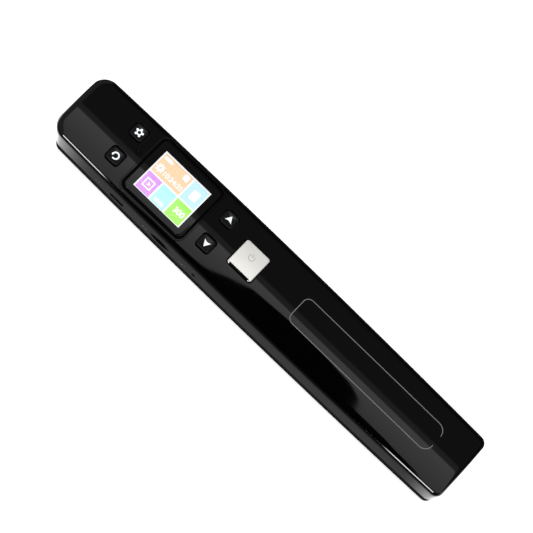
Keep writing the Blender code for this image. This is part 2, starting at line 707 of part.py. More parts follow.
def build_screen():
    """Make the window, the screen below it and the holder that carries the screen."""
    size = (WINDOW_LENGTH, WINDOW_WIDTH, WINDOW_THICKNESS)
    middle = (SCREEN_X, 0.0, WINDOW_TOP - WINDOW_THICKNESS / 2)
    shade(block("display_window", size, middle, "window_black", corner=WINDOW_CORNER, edge=WINDOW_EDGE))
    top = WINDOW_SEAT - PLATFORM_LEDGE - CLEARANCE
    size = (LCD_LENGTH, LCD_WIDTH, LCD_THICKNESS)
    middle = (SCREEN_X, 0.0, top - LCD_THICKNESS / 2)
    block("lcd_module", size, middle, "inner_black", corner=HOLDER_WALL)
    low = BOARD_TOP + CLEARANCE
    high = top - LCD_THICKNESS - CLEARANCE
    middle = (SCREEN_X, 0.0, (low + high) / 2)
    holder = block("lcd_holder", (LCD_LENGTH, LCD_WIDTH, high - low), middle, "nylon")
    gap = 2 * HOLDER_WALL
    inside = (LCD_LENGTH - gap, LCD_WIDTH - gap, high - low + 2 * OVERRUN)
    combine(holder, "DIFFERENCE", [block("holder_inside", inside, middle)])


def build_keys():
    """Make each key with its retaining flange and its post above a board switch."""
    stem_top = BOARD_TOP + CLEARANCE + SWITCH_BODY + SWITCH_STEM
    for name, x, y, length, width in KEYS:
        scan = name == "scan"
        top = SHELL_TOP - roof_drop(y) + (SCAN_PROUD if scan else KEY_PROUD)
        reach = abs(y) + width / 2 + KEY_GAP + FLANGE_WIDTH
        lip = SHELL_TOP - WALL - roof_drop(reach) - CLEARANCE
        flange_low = lip - FLANGE_THICKNESS
        look, corner, edge = (
            ("silver", SCAN_CORNER, SCAN_EDGE) if scan else ("key_black", KEY_CORNER, KEY_EDGE)
        )
        size = (length, width, top - flange_low)
        middle = (x, y, (top + flange_low) / 2)
        key = block(f"{name}_button", size, middle, look, corner=corner, edge=edge)
        grow = 2 * (KEY_GAP + FLANGE_WIDTH)
        size = (length + grow, width + grow, FLANGE_THICKNESS)
        flange = block(f"{name}_flange", size, (x, y, lip - FLANGE_THICKNESS / 2), corner=KEY_CORNER)
        foot = stem_top + KEY_TRAVEL + TIP_CLEARANCE
        post = pillar(f"{name}_post", KEY_POST_RADIUS, x, y, foot, lip)
        combine(key, "UNION", [flange, post])
        shade(key)
        low = BOARD_TOP + CLEARANCE
        size = (SWITCH_SIDE, SWITCH_SIDE, SWITCH_BODY)
        switch = block(f"{name}_switch", size, (x, y, low + SWITCH_BODY / 2), "inner_black")
        stem = pillar(f"{name}_stem", SWITCH_STEM_RADIUS, x, y, low + OVERRUN, stem_top)
        combine(switch, "UNION", [stem])


def build_light():
    """Make the light pipe in the roof and the diode under it."""
    low = BOARD_TOP + CLEARANCE
    middle = (LIGHT_X, LIGHT_Y, low + LED_HEIGHT / 2)
    block("status_led", (LED_LENGTH, LED_WIDTH, LED_HEIGHT), middle, "nylon")
    top = SHELL_TOP - roof_drop(LIGHT_Y)
    low += LED_HEIGHT + CLEARANCE
    shade(pillar("status_light", LIGHT_RADIUS, LIGHT_X, LIGHT_Y, low, top, "clear"))


def build_ports():
    """Make the two sockets and the reset switch with its pin, hung under the main board."""
    front = -half_width_at(USB_X, 0.0) + PORT_SETBACK
    x, z = USB_LENGTH / 2, USB_HEIGHT / 2
    far = front + USB_DEPTH
    usb = span("usb_socket", (USB_X - x, front, PORT_Z - z), (USB_X + x, far, PORT_Z + z), "steel")
    x, z = x - USB_METAL, z - USB_METAL
    back = far - OVERRUN
    inside = span("usb_inside", (USB_X - x, front - OVERRUN, PORT_Z - z), (USB_X + x, back, PORT_Z + z))
    combine(usb, "DIFFERENCE", [inside])
    x, z = x - USB_TONGUE, USB_TONGUE / 2
    corners = (USB_X - x, front + USB_TONGUE, PORT_Z - z), (USB_X + x, (back + far) / 2, PORT_Z + z)
    combine(usb, "UNION", [span("usb_tongue", *corners)])
    front = CLEARANCE - half_width_at(CARD_X, WALL)
    top = BOARD_UNDER - CLEARANCE
    card = span("card_socket", (CARD_X - CARD_LENGTH / 2, front, top - CARD_HEIGHT),
                (CARD_X + CARD_LENGTH / 2, front + CARD_DEPTH, top), "steel")
    x, z = CARD_SLOT_LENGTH / 2, CARD_SLOT_HEIGHT / 2
    far = front + CARD_DEPTH - OVERRUN
    inside = span("card_inside", (CARD_X - x, front - OVERRUN, PORT_Z - z), (CARD_X + x, far, PORT_Z + z))
    combine(card, "DIFFERENCE", [inside])
    build_reset(top)


def build_reset(top):
    """Make the reset switch's body and the pin that is pushed through the hole in the wall."""
    front = RESET_RECESS + RESET_PIN_LENGTH / 2 - half_width_at(RESET_X, 0.0)
    shade(rod("reset_button", RESET_PIN_RADIUS, RESET_PIN_LENGTH, (RESET_X, front, PORT_Z), "Y", "nylon"))
    face = front + RESET_PIN_LENGTH / 2 + KEY_TRAVEL + TIP_CLEARANCE
    span("reset_switch", (RESET_X - RESET_BODY_LENGTH / 2, face, top - RESET_BODY_HEIGHT),
         (RESET_X + RESET_BODY_LENGTH / 2, face + RESET_BODY_DEPTH, top), "inner_black")


def build_sensor():
    """Make the scan glass and the contact image sensor that looks through it."""
    low = BASE_LIFT - GLASS_PROUD
    size = (GLASS_LENGTH, GLASS_WIDTH, GLASS_THICKNESS)
    block("scan_glass", size, (0.0, 0.0, low + GLASS_THICKNESS / 2), "clear", corner=GLASS_CORNER)
    base = FLOOR_TOP + CLEARANCE
    x, y = SENSOR_LENGTH / 2, SENSOR_WIDTH / 2
    housing = span("sensor_housing", (-x, -y, base), (x, y, SENSOR_TOP), "inner_black")
    x, y = x - SENSOR_END, SENSOR_CHANNEL_WIDTH / 2
    channel = span("sensor_channel", (-x, -y, base - OVERRUN), (x, y, base + SENSOR_CHANNEL_DEPTH))
    x, y = LENS_LENGTH / 2 + CLEARANCE, SENSOR_SLIT / 2
    slit = span("sensor_slit", (-x, LENS_Y - y, base), (x, LENS_Y + y, SENSOR_TOP + OVERRUN))
    combine(housing, "DIFFERENCE", [channel, slit])
    x, y = LENS_LENGTH / 2, LENS_WIDTH / 2
    span("rod_lens_array", (-x, LENS_Y - y, base + OVERRUN), (x, LENS_Y + y, SENSOR_TOP), "clear")
    shade(rod("light_guide", GUIDE_RADIUS, LENS_LENGTH, (0.0, GUIDE_Y, GUIDE_Z), "X", "clear"))
    size = (SENSOR_BOARD_LENGTH, SENSOR_BOARD_WIDTH, SENSOR_BOARD_THICKNESS)
    block("sensor_board", size, (0.0, 0.0, SENSOR_BOARD_TOP - SENSOR_BOARD_THICKNESS / 2), "board_green")


def build_rollers():
    """Make both axles with their bushes, hubs and tyres, each about its own axis."""
    for roller, side in ROLLERS:
        y = side * AXLE_Y
        axis = axis_empty(f"{roller}_roller_axis", (0.0, y, AXLE_Z))
        half = BEARING_X + BEARING_WIDTH / 2 + AXLE_END
        profile = [(0.0, half), (AXLE_RADIUS, half), (AXLE_RADIUS, -half), (0.0, -half)]
        shade(turned(f"{roller}_axle", profile, (0.0, y, AXLE_Z), "steel", axis, ring=False))
        for end, way in ENDS:
            place = (way * TYRE_X, y, AXLE_Z)
            turned(f"{roller}_{end}_tyre", tyre_profile(), place, "rubber", axis, steps=TYRE_STEPS)
            turned(f"{roller}_{end}_hub", hub_profile(), place, "nylon", axis)
            turned(f"{roller}_{end}_bush", bush_profile(way), (way * BEARING_X, y, AXLE_Z), "brass")


def tyre_profile():
    """Give the tyre's section: a flat tread with rounded shoulders over the hub."""
    half, inner = TYRE_WIDTH / 2, HUB_RADIUS + CLEARANCE
    shoulder = [(TYRE_RADIUS - TYRE_ROUND, half), (TYRE_RADIUS, half - TYRE_ROUND)]
    return [*shoulder, *[(r, -along) for r, along in reversed(shoulder)], (inner, -half), (inner, half)]


def hub_profile():
    """Give the hub's section, with a narrow collar at each end."""
    half = TYRE_WIDTH / 2
    bore = AXLE_RADIUS + CLEARANCE
    upper = [(HUB_COLLAR_RADIUS, half + HUB_COLLAR), (HUB_COLLAR_RADIUS, half), (HUB_RADIUS, half)]
    outer = upper + [(r, -along) for r, along in reversed(upper)]
    return [*outer, (bore, -half - HUB_COLLAR), (bore, half + HUB_COLLAR)]


def bush_profile(way):
    """Give the flanged bush's section, with the flange towards the tyre."""
    half = BEARING_WIDTH / 2
    bore = AXLE_RADIUS + CLEARANCE
    neck = -half - CLEARANCE
    profile = [
        (BUSH_RADIUS, half), (BUSH_RADIUS, neck), (BUSH_FLANGE_RADIUS, neck),
        (BUSH_FLANGE_RADIUS, neck - BUSH_FLANGE), (bore, neck - BUSH_FLANGE), (bore, half),
    ]
    return profile if way > 0 else [(r, -along) for r, along in reversed(profile)]


def build_encoder():
    """Make the pinion on the rear axle and the toothed wheel, disc and optical sensor above it."""
    rear = bpy.data.objects["rear_roller_axis"]
    place = (GEAR_X, AXLE_Y, AXLE_Z)
    length = GEAR_WIDTH + 2 * OVERRUN
    width = GEAR_WIDTH + PINION_EXTRA
    pinion = prism("drive_pinion", gear_outline(PINION_TEETH), width, place, "nylon", rear)
    combine(pinion, "DIFFERENCE", [rod("pinion_bore", AXLE_RADIUS + CLEARANCE, length, place, "X")])
    axis = axis_empty("encoder_axis", (GEAR_X, AXLE_Y, ENCODER_Z))
    place = (GEAR_X, AXLE_Y, ENCODER_Z)
    bore = ENCODER_SHAFT_RADIUS + CLEARANCE
    wheel = prism("encoder_gear", gear_outline(WHEEL_TEETH, 0.5), GEAR_WIDTH, place, "nylon", axis)
    combine(wheel, "DIFFERENCE", [rod("gear_bore", bore, length, place, "X")])
    slot_foot = DISC_RADIUS - DISC_SLOT_LENGTH
    outline = toothed_outline(slot_foot, DISC_RADIUS, DISC_SLOTS, DISC_SLOT_SHARE, DISC_SLOT_SHARE)
    place = (DISC_X, AXLE_Y, ENCODER_Z)
    disc = prism("encoder_disc", outline, DISC_THICKNESS, place, "inner_black", axis)
    combine(disc, "DIFFERENCE", [rod("disc_bore", bore, OVERRUN * 2, place, "X")])
    middle = (BRACKET_LEFT + BRACKET_RIGHT) / 2
    length = BRACKET_RIGHT - BRACKET_LEFT + 2 * CLEARANCE
    shade(rod("encoder_shaft", ENCODER_SHAFT_RADIUS, length, (middle, AXLE_Y, ENCODER_Z), "X", "steel", axis))
    build_bracket(bore)
    build_eye()


def build_eye():
    """Make the optical sensor, a fork that straddles the rim of the encoder's disc."""
    top = ENCODER_Z + DISC_RADIUS
    x, y = DISC_THICKNESS / 2 + CLEARANCE + EYE_WALL, EYE_DEPTH / 2
    corners = (DISC_X - x, AXLE_Y - y, top - EYE_REACH), (DISC_X + x, AXLE_Y + y, top + EYE_RISE)
    eye = span("encoder_sensor", *corners, "inner_black")
    x, y = x - EYE_WALL, EYE_DEPTH
    corners = (DISC_X - x, AXLE_Y - y, top - EYE_REACH - OVERRUN), (DISC_X + x, AXLE_Y + y, top + CLEARANCE)
    combine(eye, "DIFFERENCE", [span("eye_slot", *corners)])


def build_bracket(bore):
    """Make the bracket that stands beside the sensor and carries the encoder's shaft in two cheeks."""
    inner = SENSOR_WIDTH / 2 + CLEARANCE
    low = FLOOR_TOP + CLEARANCE
    bracket = span("encoder_bracket", (BRACKET_LEFT, inner, low),
                   (BRACKET_RIGHT, AXLE_Y + CHEEK_REACH, BRACKET_TOP), "nylon")
    middle = (BRACKET_LEFT + BRACKET_RIGHT) / 2
    length = BRACKET_RIGHT - BRACKET_LEFT + 2 * OVERRUN
    combine(bracket, "DIFFERENCE", [
        span("bracket_inside", (BRACKET_LEFT + CHEEK_WIDTH, inner + BRACKET_WEB, low - OVERRUN),
             (BRACKET_RIGHT - CHEEK_WIDTH, AXLE_Y + CHEEK_REACH + OVERRUN, BRACKET_TOP + OVERRUN)),
        rod("bracket_axle_hole", AXLE_RADIUS + CLEARANCE, length, (middle, AXLE_Y, AXLE_Z), "X"),
        rod("bracket_shaft_hole", bore, length, (middle, AXLE_Y, ENCODER_Z), "X"),
    ])


def build_electronics():
    """Make the main board, the battery with its lead and plug, and the sensor's ribbon."""
    span("main_board", (BOARD_LEFT, -BOARD_WIDTH / 2, BOARD_UNDER), (BOARD_RIGHT, BOARD_WIDTH / 2, BOARD_TOP),
         "board_green", corner=BOARD_CORNER)
    low = SENSOR_BOARD_TOP + CLEARANCE
    span("battery_pack", (BATTERY_LEFT, -BATTERY_WIDTH / 2, low),
         (BATTERY_RIGHT, BATTERY_WIDTH / 2, low + BATTERY_THICKNESS), "cell_wrap", corner=BATTERY_ROUND)
    base = BOARD_TOP + CLEARANCE
    right = BOARD_RIGHT - OVERRUN
    span("battery_plug", (right - PLUG_LENGTH, LEAD_Y - PLUG_WIDTH / 2, base),
         (right, LEAD_Y + PLUG_WIDTH / 2, base + PLUG_HEIGHT), "nylon")
    build_lead(right + CLEARANCE, base + PLUG_HEIGHT / 2)
    build_ribbon(base)


def build_lead(start, height):
    """Make the battery's lead, which sags a little between the plug and the cell."""
    curve = bpy.data.curves.new("lead_path", "CURVE")
    curve.dimensions = "3D"
    curve.bevel_depth = LEAD_RADIUS
    curve.bevel_resolution = 2
    curve.use_fill_caps = True
    spline = curve.splines.new("POLY")
    steps = 2 * RIBBON_STEPS
    spline.points.add(steps)
    for i in range(steps + 1):
        share = i / steps
        x = start + (BATTERY_LEFT - CLEARANCE - start) * share
        spline.points[i].co = (x, LEAD_Y, height - LEAD_SAG * math.sin(math.pi * share), 1.0)
    add("battery_lead", curve, "inner_black")


def build_ribbon(base):
    """Make the flat cable from the sensor board, round the main board's end, to its connector."""
    half = RIBBON_THICKNESS / 2
    low = SENSOR_BOARD_TOP + CLEARANCE + half
    high = base + CONNECTOR_HEIGHT / 2
    x = BOARD_RIGHT + CLEARANCE + half + RIBBON_BEND / 2
    right = BOARD_RIGHT - OVERRUN
    turn = [math.pi / 2 * i / RIBBON_STEPS for i in range(RIBBON_STEPS + 1)]
    path = [(x + RIBBON_BEND + RIBBON_FOOT, low)]
    path += [(x + RIBBON_BEND * (1 - math.sin(a)), low + RIBBON_BEND * (1 - math.cos(a))) for a in turn]
    path += [(x - RIBBON_BEND * (1 - math.cos(a)), high - RIBBON_BEND * (1 - math.sin(a))) for a in turn]
    path.append((right + CLEARANCE, high))
    bm = bmesh.new()
    line = [bm.verts.new((px, -RIBBON_WIDTH / 2, pz)) for px, pz in path]
    edges = [bm.edges.new(pair) for pair in zip(line, line[1:])]
    grown = bmesh.ops.extrude_edge_only(bm, edges=edges)
    moved = [v for v in grown["geom"] if isinstance(v, bmesh.types.BMVert)]
    bmesh.ops.translate(bm, verts=moved, vec=(0.0, RIBBON_WIDTH, 0.0))
    ribbon = add("sensor_ribbon", to_mesh("sensor_ribbon", bm), "ribbon_white")
    solidify = ribbon.modifiers.new("thickness", "SOLIDIFY")
    solidify.thickness = RIBBON_THICKNESS
    solidify.offset = 0.0
    span("ribbon_connector", (right - CONNECTOR_DEPTH, -RIBBON_WIDTH / 2 - OVERRUN, base),
         (right, RIBBON_WIDTH / 2 + OVERRUN, base + CONNECTOR_HEIGHT), "nylon")


def build_screws():
    """Make the four screws that hold the shells together, sunk in the base."""
    head_top = SCREW_SEAT - CLEARANCE
    tip = head_top + SCREW_LENGTH - 2 * CLEARANCE
    for i, (x, y) in enumerate(CORNERS, 1):
        face = head_top - SCREW_HEAD
        screw = pillar(f"housing_screw_{i}", SCREW_HEAD_RADIUS, x, y, face, head_top, "steel")
        shank = pillar(f"screw_shank_{i}", SCREW_SHANK_RADIUS, x, y, face + SCREW_HEAD / 2, tip)
        combine(screw, "UNION", [shank])
        half = SCREW_CROSS_LENGTH / 2, SCREW_CROSS_WIDTH / 2
        for arm, (a, b) in (("long", half), ("wide", half[::-1])):
            corners = (x - a, y - b, face - OVERRUN), (x + a, y + b, face + SCREW_CROSS_DEPTH)
            combine(screw, "DIFFERENCE", [span(f"cross_{i}_{arm}", *corners)])


def build():
    """Build the whole scanner."""
    clear_scene()
    set_finishes()
    build_top_shell()
    build_bottom_shell()
    build_screen()
    build_keys()
    build_light()
    build_ports()
    build_sensor()
    build_rollers()
    build_encoder()
    build_electronics()
    build_screws()


build()
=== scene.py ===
"""Looks of a handheld document scanner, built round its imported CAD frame.

X runs along the wand with the screen at -X, the ports are on the -Y side and +Z is up. Lengths are in metres.
"""

import json
import logging
import math
from collections.abc import Callable
from dataclasses import dataclass
from enum import Enum

import bmesh
import bpy
import numpy as np
from mathutils import Matrix, Vector

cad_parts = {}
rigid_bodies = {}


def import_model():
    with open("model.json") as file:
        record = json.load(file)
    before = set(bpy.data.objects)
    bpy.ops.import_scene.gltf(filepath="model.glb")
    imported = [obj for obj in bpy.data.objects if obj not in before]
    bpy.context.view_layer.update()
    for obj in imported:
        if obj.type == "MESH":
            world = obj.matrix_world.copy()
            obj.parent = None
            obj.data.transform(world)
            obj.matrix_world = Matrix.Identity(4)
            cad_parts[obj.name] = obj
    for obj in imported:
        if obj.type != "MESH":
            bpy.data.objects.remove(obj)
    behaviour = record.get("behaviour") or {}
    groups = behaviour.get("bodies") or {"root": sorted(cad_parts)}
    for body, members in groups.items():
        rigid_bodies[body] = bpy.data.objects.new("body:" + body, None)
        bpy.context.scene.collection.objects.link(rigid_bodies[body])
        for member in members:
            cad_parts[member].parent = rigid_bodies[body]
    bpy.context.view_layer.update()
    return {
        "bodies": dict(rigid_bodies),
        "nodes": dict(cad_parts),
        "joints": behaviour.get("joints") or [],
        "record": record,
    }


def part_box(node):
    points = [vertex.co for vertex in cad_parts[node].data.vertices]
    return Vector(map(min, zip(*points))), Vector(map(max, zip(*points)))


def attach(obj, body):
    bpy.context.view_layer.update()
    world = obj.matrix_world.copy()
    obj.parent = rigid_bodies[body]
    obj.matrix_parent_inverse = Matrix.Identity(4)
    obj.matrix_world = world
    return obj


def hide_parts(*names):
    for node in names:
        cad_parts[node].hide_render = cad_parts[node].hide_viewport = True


MM = 0.001
SIDE_STEP = 0.9 * MM
LONGEST_EDGE = 1.2 * MM
LEND_REACH = 0.004 * MM
INK = 0.02 * MM
COG_STEPS = 96
FLANGE_GROWTH = 2.4 * MM
POST_RADIUS = 1.6 * MM
CORNERS = ((1, 1), (1, -1), (-1, 1), (-1, -1))
Array = np.ndarray
Object, Face, Socket = bpy.types.Object, bpy.types.MeshPolygon, bpy.types.NodeSocket
Pair = tuple[float, float]
Triple = tuple[float, float, float]
Ramp = tuple[float, ...]
log = logging.getLogger("document_scanner")


class Body(Enum):
    """CAD bodies that pieces ride on."""

    HOUSING = "housing"
    SETTINGS = "settings_key"
    BACK = "back_key"
    UP = "up_key"
    DOWN = "down_key"
    SCAN = "scan_key"
    FRONT_ROLLER = "front_roller"
    REAR_ROLLER = "rear_roller"


class Slot(Enum):
    """Material slots of the record that are passed with the pieces here."""

    GLOSS_BLACK = "gloss_black"
    BASE_BLACK = "base_black"
    KEY_BLACK = "key_black"
    SILVER = "silver"
    CLEAR = "clear"
    RUBBER = "rubber"
    INNER_BLACK = "inner_black"


# Meshes


class Ends(Enum):
    """Ways to close a stack of rings."""

    JOINED = "the last ring joins the first"
    CAPPED = "both end rings get a flat cap"
    FOOT = "the first ring gets a flat cap, and the last one is drawn together"
    DRAWN = "both end rings are drawn together"


def quads(rows: int, columns: int, joined: bool = False, start: int = 0) -> list[list[int]]:
    """Index the quads between closed rings of points.

    Args:
        rows: Number of rings.
        columns: Number of points in a ring.
        joined: Whether the last ring joins the first.
        start: Index of the first point.

    Returns:
        Four point indices for each face.
    """
    r, c = np.meshgrid(np.arange(rows if joined else rows - 1), np.arange(columns), indexing="ij")
    r1, c1 = (r + 1) % rows, (c + 1) % columns
    found = np.stack([r * columns + c, r * columns + c1, r1 * columns + c1, r1 * columns + c], -1)
    return (found.reshape(-1, 4) + start).tolist()


def make_mesh(name: str, points: Array, faces: list[list[int]], smooth: float) -> Object:
    """Make a closed mesh object at the origin, with outward faces and sharp edges past an angle.

    Args:
        name: Piece name.
        points: Array of (n, 3) places.
        faces: Point indices of each face.
        smooth: Angle in degrees up to which an edge is shaded smooth.

    Returns:
        The new object.
    """
    mesh = bpy.data.meshes.new(name)
    mesh.from_pydata(points.tolist(), [], faces)
    bm = bmesh.new()
    bm.from_mesh(mesh)
    bmesh.ops.remove_doubles(bm, verts=bm.verts, dist=2e-7)
    bmesh.ops.dissolve_degenerate(bm, edges=bm.edges, dist=1e-8)
    bmesh.ops.recalc_face_normals(bm, faces=bm.faces)
    bm.to_mesh(mesh)
    bm.free()
    sharpen(mesh, smooth)
    return link(bpy.data.objects.new(name, mesh))


def sharpen(mesh: bpy.types.Mesh, smooth: float) -> None:
    """Shade a mesh smooth, apart from edges past an angle in degrees."""
    mesh.shade_smooth()
    mesh.set_sharp_from_angle(angle=math.radians(smooth))


def link(piece: Object) -> Object:
    """Put an object in the scene."""
    bpy.context.scene.collection.objects.link(piece)
    return piece


def ring_stack(
    name: str, rings: list[Array] | Array, ends: Ends = Ends.CAPPED, smooth: float = 40.0
) -> Object:
    """Skin a stack of closed rings.

    Args:
        name: Piece name.
        rings: Arrays of (points, 3), all of one size.
        ends: How the stack is closed.
        smooth: Angle in degrees up to which an edge is shaded smooth.

    Returns:
        The new object.
    """
    stack = np.asarray(rings)
    count, around = stack.shape[:2]
    faces = quads(count, around, ends is Ends.JOINED)
    if ends in (Ends.CAPPED, Ends.FOOT):
        faces.append(list(range(around))[::-1])
    if ends is Ends.CAPPED:
        faces.append(list(range((count - 1) * around, count * around)))
    return make_mesh(name, stack.reshape(-1, 3), faces, smooth)


def slabs(name: str, pairs: list[tuple[Array, Array]], smooth: float) -> Object:
    """Make one piece of flat slabs, each between two like rings.

    Args:
        name: Piece name.
        pairs: Two arrays of (n, 3) points for each slab.
        smooth: Angle in degrees up to which an edge is shaded smooth.

    Returns:
        The new object.
    """
    faces, start = [], 0
    for ring, _ in pairs:
        n = len(ring)
        faces += [(start + np.arange(n)[::-1]).tolist(), (start + n + np.arange(n)).tolist()]
        faces += quads(2, n, start=start)
        start += 2 * n
    return make_mesh(name, np.concatenate([ring for pair in pairs for ring in pair]), faces, smooth)


def outline_plate(name: str, loops: list[Array], low: float, high: float) -> Object:
    """Extrude flat outlines, arrays of (n, 2), between two heights; each is a slab of its own."""
    return slabs(name, [(level(loop, low), level(loop, high)) for loop in loops], 30.0)


def level(flat: Array, z: Array | float) -> Array:
    """Stand flat points, an array of (n, 2), at one height or at a height for each."""
    return np.column_stack([flat, np.broadcast_to(z, len(flat))])


def circle(radius: float, steps: int) -> Array:
    """Points round a circle, an array of (n, 2)."""
    return arc(radius, np.linspace(0, 2 * np.pi, steps, endpoint=False))


def arc(radius: float, angles: Array) -> Array:
    """Points at angles on a circle, an array of (n, 2): radius times cosine, and radius times sine."""
    return radius * np.stack([np.cos(angles), np.sin(angles)], 1)


def quarter(steps: int) -> list[Pair]:
    """One less the cosine, and one less the sine, of steps of angle from 0 to 90 degrees."""
    return [(1 - math.cos(a), 1 - math.sin(a)) for a in np.linspace(0, np.pi / 2, steps + 1)]


def rounded_rectangle(length: float, width: float, radius: float, steps: int = 10) -> Array:
    """Outline of a rectangle with round corners: each corner is a quarter circle about a point one radius in.

    Args:
        length: Size along X.
        width: Size along Y.
        radius: Corner radius.
        steps: Segments in each corner.

    Returns:
        An anticlockwise array of (n, 2) points, with extra points along the straight sides.
    """
    angle = np.linspace(0, np.pi / 2, steps + 1)
    middle = np.array([length / 2 - radius, width / 2 - radius])
    signs = ((1, 1), (-1, 1), (-1, -1), (1, -1))
    corners = [arc(radius, angle + i * np.pi / 2) + middle * sign for i, sign in enumerate(signs)]
    return split_edges(np.concatenate(corners), lambda gap: round(gap / SIDE_STEP))


def dense(loop: Array) -> Array:
    """Split the edges of a closed outline that are longer than the longest that stays whole."""
    return split_edges(loop, lambda gap: math.ceil(gap / LONGEST_EDGE))


def split_edges(loop: Array, parts: Callable[[float], int], closed: bool = True) -> Array:
    """Split the edges of an outline.

    Args:
        loop: Array of (n, 2) points.
        parts: Gives the number of parts for an edge's length.
        closed: Whether the last point joins the first.

    Returns:
        The outline with more points.
    """
    out = []
    last = np.roll(loop, -1, 0)
    for a, b in zip(loop, last) if closed else zip(loop[:-1], last[:-1]):
        count = max(1, parts(np.linalg.norm(b - a)))
        out.append(a + (b - a) * (np.arange(count) / count)[:, None])
    return np.concatenate(out if closed else [*out, loop[-1:]])


def across(path: Array, closed: bool = True) -> Array:
    """Unit normals of an outline: the step between a point's two neighbours, turned a quarter clockwise.

    Args:
        path: Array of (n, 2) points.
        closed: Whether the last point joins the first.

    Returns:
        Array of (n, 2) directions, outward for an anticlockwise outline.
    """
    step = np.roll(path, -1, 0) - np.roll(path, 1, 0) if closed else np.gradient(path, axis=0)
    step /= np.linalg.norm(step, axis=1)[:, None]
    return np.stack([step[:, 1], -step[:, 0]], 1)


def boolean(piece: Object, tools: list[Object], operation: str = "DIFFERENCE") -> None:
    """Cut tools from a piece, or join them to it, and remove the tools.

    Args:
        piece: The piece that is changed.
        tools: Closed meshes.
        operation: DIFFERENCE or UNION.
    """
    for tool in tools:
        step = piece.modifiers.new(tool.name, "BOOLEAN")
        step.operation, step.object, step.solver = operation, tool, "EXACT"
    bake(piece)
    for tool in tools:
        bpy.data.objects.remove(tool, do_unlink=True)


def bake(piece: Object) -> None:
    """Put a piece's modifiers into its mesh.

    Args:
        piece: The piece.
    """
    graph = bpy.context.evaluated_depsgraph_get()
    graph.update()
    solid = piece.evaluated_get(graph)
    made = bpy.data.meshes.new_from_object(solid, preserve_all_data_layers=True, depsgraph=graph)
    piece.modifiers.clear()
    piece.data = made


def lend_normals(piece: Object, source: Object) -> None:
    """Give the faces that still lie on the uncut surface its shading, so that cuts don't dent the gloss.

    Args:
        piece: The cut piece.
        source: The uncut piece, which is removed.
    """
    lend = piece.modifiers.new("uncut shading", "DATA_TRANSFER")
    lend.object = source
    lend.use_loop_data = True
    lend.data_types_loops = {"CUSTOM_NORMAL"}
    lend.loop_mapping = "POLYINTERP_NEAREST"
    lend.use_max_distance, lend.max_distance = True, LEND_REACH
    bake(piece)
    bpy.data.objects.remove(source, do_unlink=True)


def ride(piece: Object, body: Body, slot: Slot, *nodes: str) -> None:
    """Make a piece move with a body and stand it for CAD nodes.

    Args:
        piece: The piece, in place.
        body: The body that carries it.
        slot: The record's material slot; not used.
        nodes: CAD nodes that the piece replaces.
    """
    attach(piece, body.value)
    if nodes:
        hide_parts(*nodes)
    log.info("%s rides on %s, %d faces", piece.name, body.value, len(piece.data.polygons))


# Materials


@dataclass
class NodeKit:
    """Short calls that place and join shader nodes in one tree."""

    tree: bpy.types.NodeTree

    def node(
        self, kind: str, values: dict[str | int, object] | None = None, **settings: object
    ) -> bpy.types.Node:
        """Add a node.

        Args:
            kind: Type of the node.
            values: Outputs or plain values by the inputs' names or places.
            settings: Properties of the node.

        Returns:
            The node.
        """
        made = self.tree.nodes.new(kind)
        for key, value in settings.items():
            setattr(made, key, value)
        return self.fill(made, values or {})

    def fill(self, node: bpy.types.Node, values: dict[str | int, object]) -> bpy.types.Node:
        """Feed a node's inputs and give the node.

        Args:
            node: The node.
            values: Outputs or plain values by the inputs' names or places.

        Returns:
            The node.
        """
        for key, value in values.items():
            if isinstance(value, Socket):
                self.tree.links.new(value, node.inputs[key])
            else:
                node.inputs[key].default_value = value
        return node

    def math(self, operation: str, *inputs: object, clamp: bool = False) -> Socket:
        """Add a Math node and give its output."""
        values = dict(enumerate(inputs))
        return self.node("ShaderNodeMath", values, operation=operation, use_clamp=clamp).outputs[0]

    def times(self, first: object, second: object) -> Socket:
        """Multiply two values."""
        return self.math("MULTIPLY", first, second)

    def plus(self, first: object, second: object) -> Socket:
        """Add two values."""
        return self.math("ADD", first, second)

    def noise(self, vector: object, scale: object, detail: float = 2.0, rough: float = 0.5) -> Socket:
        """Add a Noise texture and give its factor."""
        values = {"Vector": vector, "Scale": scale, "Detail": detail, "Roughness": rough}
        return self.node("ShaderNodeTexNoise", values).outputs[0]

    def spread(
        self, value: object, low: float, high: float, to_low: float = 0.0, to_high: float = 1.0
    ) -> Socket:
        """Map a value's range to another, clamped."""
        values = dict(enumerate((value, low, high, to_low, to_high)))
        return self.node("ShaderNodeMapRange", values).outputs[0]

    def mix(self, factor: object, first: object, second: object) -> Socket:
        """Mix two colours."""
        return self.node("ShaderNodeMix", {0: factor, 6: first, 7: second}, data_type="RGBA").outputs[2]

    def axes(self, kind: str) -> tuple[Socket, ...]:
        """Give X, Y and Z of a kind of texture coordinates."""
        place = self.node("ShaderNodeTexCoord").outputs[kind]
        return tuple(self.node("ShaderNodeSeparateXYZ", {"Vector": place}).outputs)


def rgba(*colour: float) -> tuple[float, float, float, float]:
    """Give a colour, or a grey from one number, with full alpha."""
    return (*(colour if len(colour) > 1 else colour * 3), 1.0)


def linear(red: int, green: int, blue: int) -> Triple:
    """Turn a screen colour into the linear colour that shows as it."""
    shares = [c / 255 for c in (red, green, blue)]
    return tuple(((s + 0.055) / 1.055) ** 2.4 if s > 0.04 else s / 12.92 for s in shares)


